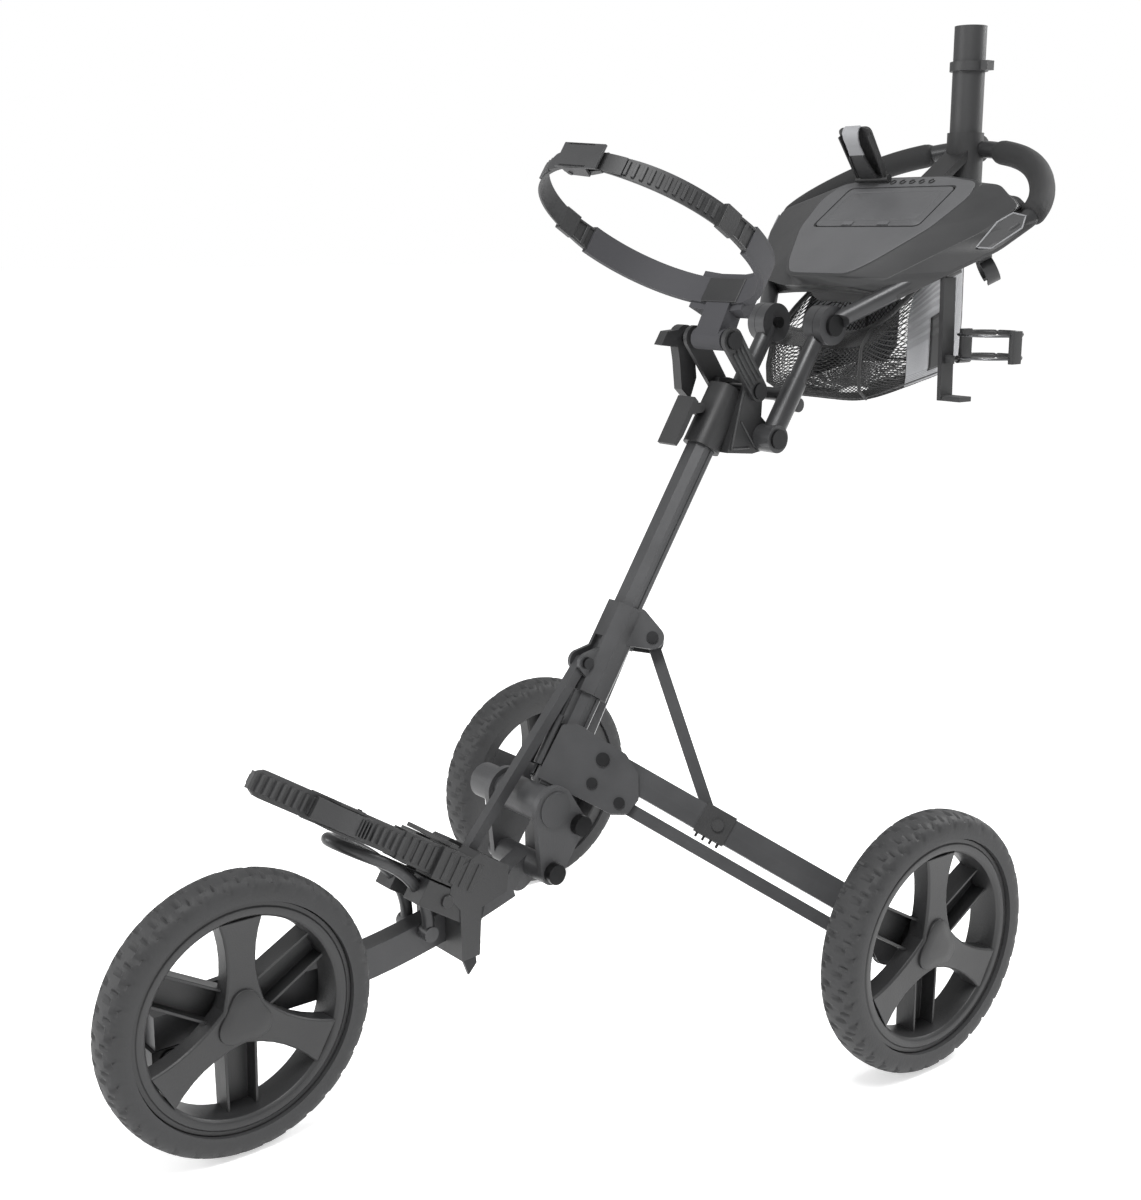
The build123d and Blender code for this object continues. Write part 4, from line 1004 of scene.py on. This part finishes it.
def clip_strip(bm, path, half):
    """A thin bent strip along a side path, its half-width given at each point."""
    sections = []
    for k, ((a, o), w) in enumerate(zip(path, half)):
        before, after = Vector(path[max(0, k - 1)]), Vector(path[min(len(path) - 1, k + 1)])
        run = (after - before).normalized()
        out = Vector((-run.y, run.x)) * 0.0012
        sections.append([
            HANDLE @ Vector((CLIP_X + x, a + sign * out.x, o + sign * out.y))
            for x, sign in ((-w, 1), (w, 1), (w, -1), (-w, -1))
        ])
    skin(bm, sections)


def clip_tongue_mesh():
    def build(bm):
        path = [(0.2590, 0.0415), (0.2560, 0.048), (0.2540, 0.060), (0.2528, 0.078), (0.2528, 0.081)]
        clip_strip(bm, path, [0.0155, 0.0155, 0.0142, 0.0120, 0.0118])
        for side in (1, -1):
            points = [HANDLE @ Vector((CLIP_X + side * x, a - 0.0022, o)) for x, a, o in (
                (0.0150, 0.2572, 0.0450), (0.0138, 0.2540, 0.060), (0.0116, 0.2528, 0.080),
            )]
            tube(bm, points, 0.0010, 8)
    return mesh_from("clip_tongue", build)


def clip_prong_mesh():
    """The tongue's pale upper part, rolled back over the plate."""
    def build(bm):
        path = [
            (0.2528, 0.080), (0.2530, 0.094), (0.2540, 0.1040), (0.2565, 0.1110), (0.2605, 0.1145),
            (0.2655, 0.1150),
        ]
        clip_strip(bm, path, [0.0120, 0.0112, 0.0125, 0.0135, 0.0135, 0.0130])
    return mesh_from("clip_prong", build)


add_piece("clip_plate", clip_plate_mesh(), PLASTIC, "clip", "scorecard_clip", 0.0004)
add_piece("clip_tongue", clip_tongue_mesh(), SIDE_PLASTIC, "clip", bevel=0.0003)
add_piece("clip_prong", clip_prong_mesh(), TRIM, "clip", bevel=0.0003)

# ---------------- net bag
FRONT_LINE = [(182, 800), (158, 778), (153, 750), (155, 730), (176, 719), (205, 717), (232, 720)]
REAR_LINE = [(374, 932), (373, 880), (371, 820), (368, 772), (345, 752), (300, 738), (262, 727)]
HALF_WIDTHS = [84, 88, 91, 91, 86, 60, 18]
RING_COUNT = 132
LEVEL_COUNT = 72


def line_at(line, share):
    where = share * (len(line) - 1)
    i = min(int(where), len(line) - 2)
    u = where - i
    return [a + (b - a) * u for a, b in zip(line[i], line[i + 1])]


def bag_point(turn, share, grow=0.0):
    """A point of the hanging bag: turn goes round, share goes from the rim to the bottom."""
    front, rear = line_at(FRONT_LINE, share), line_at(REAR_LINE, share)
    width = line_at([(w, 0) for w in HALF_WIDTHS], share)[0]
    power = 0.42
    across = math.copysign(abs(math.cos(turn)) ** power, math.cos(turn))
    fore = math.copysign(abs(math.sin(turn)) ** power, math.sin(turn))
    middle = [(a + b) / 2 for a, b in zip(front, rear)]
    reach = [(b - a) / 2 for a, b in zip(front, rear)]
    sag = 0.0
    if share < 0.8:
        sag = 3.0 * math.sin(3.1 * turn + 2 * share) * math.sin(math.pi * min(1, share * 1.2))
    x = across * (width + grow)
    y = middle[0] + fore * (reach[0] + grow)
    z = middle[1] + fore * reach[1] + 0.4 * sag
    return Vector((x / 1000, y / 1000 + AXLE_Y, z / 1000))


def net_mesh():
    """Diamond net: one face per opening; the cords are its edges."""
    mesh = bpy.data.meshes.new("net")
    bm = bmesh.new()
    verts = {}

    def vert(i, j):
        key = (i % RING_COUNT, j)
        if key not in verts:
            verts[key] = bm.verts.new(bag_point(2 * math.pi * key[0] / RING_COUNT, j / LEVEL_COUNT))
        return verts[key]

    for j in range(1, LEVEL_COUNT):
        for i in range(RING_COUNT):
            if (i + j) % 2:
                bm.faces.new((vert(i, j - 1), vert(i + 1, j), vert(i, j + 1), vert(i - 1, j)))
    bm.to_mesh(mesh)
    bm.free()
    return mesh


net = bpy.data.objects.new("bag_net", net_mesh())
bpy.context.scene.collection.objects.link(net)
net.data.materials.append(NET)
cords = net.modifiers.new("cords", "WIREFRAME")
cords.thickness = 0.0018
cords.use_replace = True
cords.use_boundary = True
cords.use_even_offset = False
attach(net, "handle")
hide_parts("mesh_bag")


def binding_mesh():
    """Sewn binding round the rim, down the corners and round the foot."""
    def build(bm):
        for share, radius in ((0.0, 0.0032), (0.62, 0.0016)):
            points = [bag_point(2 * math.pi * k / 96, share, 0.4) for k in range(96)]
            tube(bm, points, radius, 10, closed=True)
        for corner in (45, 135, 225, 315):
            points = [bag_point(math.radians(corner), k / 40, 0.6) for k in range(38)]
            tube(bm, points, 0.0020, 10)
    return mesh_from("bag_binding", build)


def band_mesh(turn_range, share_range, thickness, lift):
    """A strip of cloth following the bag's skin."""
    def build(bm):
        steps, rows = 28, 16
        grid = {}
        for layer, grow in enumerate((lift, lift + thickness)):
            for a in range(steps + 1):
                for b in range(rows + 1):
                    turn = turn_range[0] + (turn_range[1] - turn_range[0]) * a / steps
                    share = share_range[0] + (share_range[1] - share_range[0]) * b / rows
                    grid[layer, a, b] = bm.verts.new(bag_point(turn, share, grow))
        for a in range(steps):
            for b in range(rows):
                for layer in (0, 1):
                    spots = ((a, b), (a + 1, b), (a + 1, b + 1), (a, b + 1))
                    bm.faces.new([grid[layer, i, j] for i, j in spots])
        for a in range(steps):
            for b in (0, rows):
                bm.faces.new((grid[0, a, b], grid[0, a + 1, b], grid[1, a + 1, b], grid[1, a, b]))
        for b in range(rows):
            for a in (0, steps):
                bm.faces.new((grid[0, a, b], grid[0, a, b + 1], grid[1, a, b + 1], grid[1, a, b]))
    return mesh_from("cloth_band", build)


add_piece("bag_binding", binding_mesh(), BINDING, "handle")
for piece_name, turns, shares, material in (
    ("bag_pale_panel", (math.radians(-1.3), math.radians(84)), (0.03, 0.66), PALE_CLOTH),
    ("bag_pale_panel_far", (math.radians(96), math.radians(181.3)), (0.03, 0.66), PALE_CLOTH),
    ("bag_rim_band_rear", (math.radians(40), math.radians(140)), (0.0, 0.05), BINDING),
    ("bag_rim_band_front", (math.radians(220), math.radians(320)), (0.0, 0.14), BINDING),
):
    add_piece(piece_name, band_mesh(turns, shares, 0.9, 0.5), material, "handle")
for number, turns in enumerate(((1, 16), (164, 179))):
    patch = band_mesh([math.radians(t) for t in turns], (0.24, 0.54), 0.9, 1.6)
    add_piece(f"bag_patch_{number}", patch, BINDING, "handle")

# ---------------- stage, light, camera
floor_mesh = mesh_from("floor", lambda bm: prism(bm, rectangle(-40, 40, -40, 40), -0.03, -0.0004))
floor = bpy.data.objects.new("floor", floor_mesh)
bpy.context.scene.collection.objects.link(floor)
floor_material, _, _, floor_shader = new_material("pale_floor")
floor_shader.inputs["Base Color"].default_value = (0.92, 0.92, 0.92, 1)
floor_shader.inputs["Roughness"].default_value = 0.75
floor_shader.inputs["Emission Color"].default_value = (1, 1, 1, 1)
floor_shader.inputs["Emission Strength"].default_value = 0.52
floor.data.materials.append(floor_material)
bpy.context.scene.view_settings.view_transform = "Standard"

world = bpy.data.worlds.new("studio")
world.use_nodes = True
sky_nodes, sky_links = world.node_tree.nodes, world.node_tree.links
lighting = sky_nodes["Background"]
lighting.inputs["Color"].default_value = (1, 1, 1, 1)
lighting.inputs["Strength"].default_value = 0.55
backdrop = sky_nodes.new("ShaderNodeBackground")
backdrop.inputs["Color"].default_value = (1, 1, 1, 1)
seen = sky_nodes.new("ShaderNodeLightPath")
choose = sky_nodes.new("ShaderNodeMixShader")
sky_links.new(seen.outputs["Is Camera Ray"], choose.inputs["Fac"])
sky_links.new(lighting.outputs["Background"], choose.inputs[1])
sky_links.new(backdrop.outputs["Background"], choose.inputs[2])
sky_links.new(choose.outputs["Shader"], sky_nodes["World Output"].inputs["Surface"])
bpy.context.scene.world = world


def soft_light(name, place, target, size, power):
    data = bpy.data.lights.new(name, "AREA")
    data.size = size
    data.energy = power
    light = bpy.data.objects.new(name, data)
    light.location = place
    light.rotation_euler = (Vector(target) - Vector(place)).to_track_quat("-Z", "Y").to_euler()
    bpy.context.scene.collection.objects.link(light)


soft_light("key", (1.0, -1.2, 3.2), (0, 0, 0.5), 1.3, 95)
soft_light("fill", (-1.6, -2.8, 1.4), (0, 0, 0.5), 1.2, 42)
soft_light("rim", (0.6, 2.8, 2.2), (0, 0, 0.6), 1.2, 80)

CAMERA_PLACE = Vector((1.4719, -1.3881 + AXLE_Y, 0.9220))
CAMERA_YAW, CAMERA_PITCH, CAMERA_ROLL = -0.9006, -0.2171, 0.0016
level = math.cos(CAMERA_PITCH)
forward = Vector((math.sin(CAMERA_YAW) * level, math.cos(CAMERA_YAW) * level, math.sin(CAMERA_PITCH)))
level_right = Vector((math.cos(CAMERA_YAW), -math.sin(CAMERA_YAW), 0))
level_up = level_right.cross(forward)
right = math.cos(CAMERA_ROLL) * level_right + math.sin(CAMERA_ROLL) * level_up
upright = -math.sin(CAMERA_ROLL) * level_right + math.cos(CAMERA_ROLL) * level_up
camera_data = bpy.data.cameras.new("photo_camera")
camera_data.sensor_fit = "VERTICAL"
camera_data.sensor_height = 36
camera_data.lens = 49.95
camera = bpy.data.objects.new("photo_camera", camera_data)
camera.matrix_world = placed(right, upright, -forward, CAMERA_PLACE)
bpy.context.scene.collection.objects.link(camera)
bpy.context.scene.camera = camera
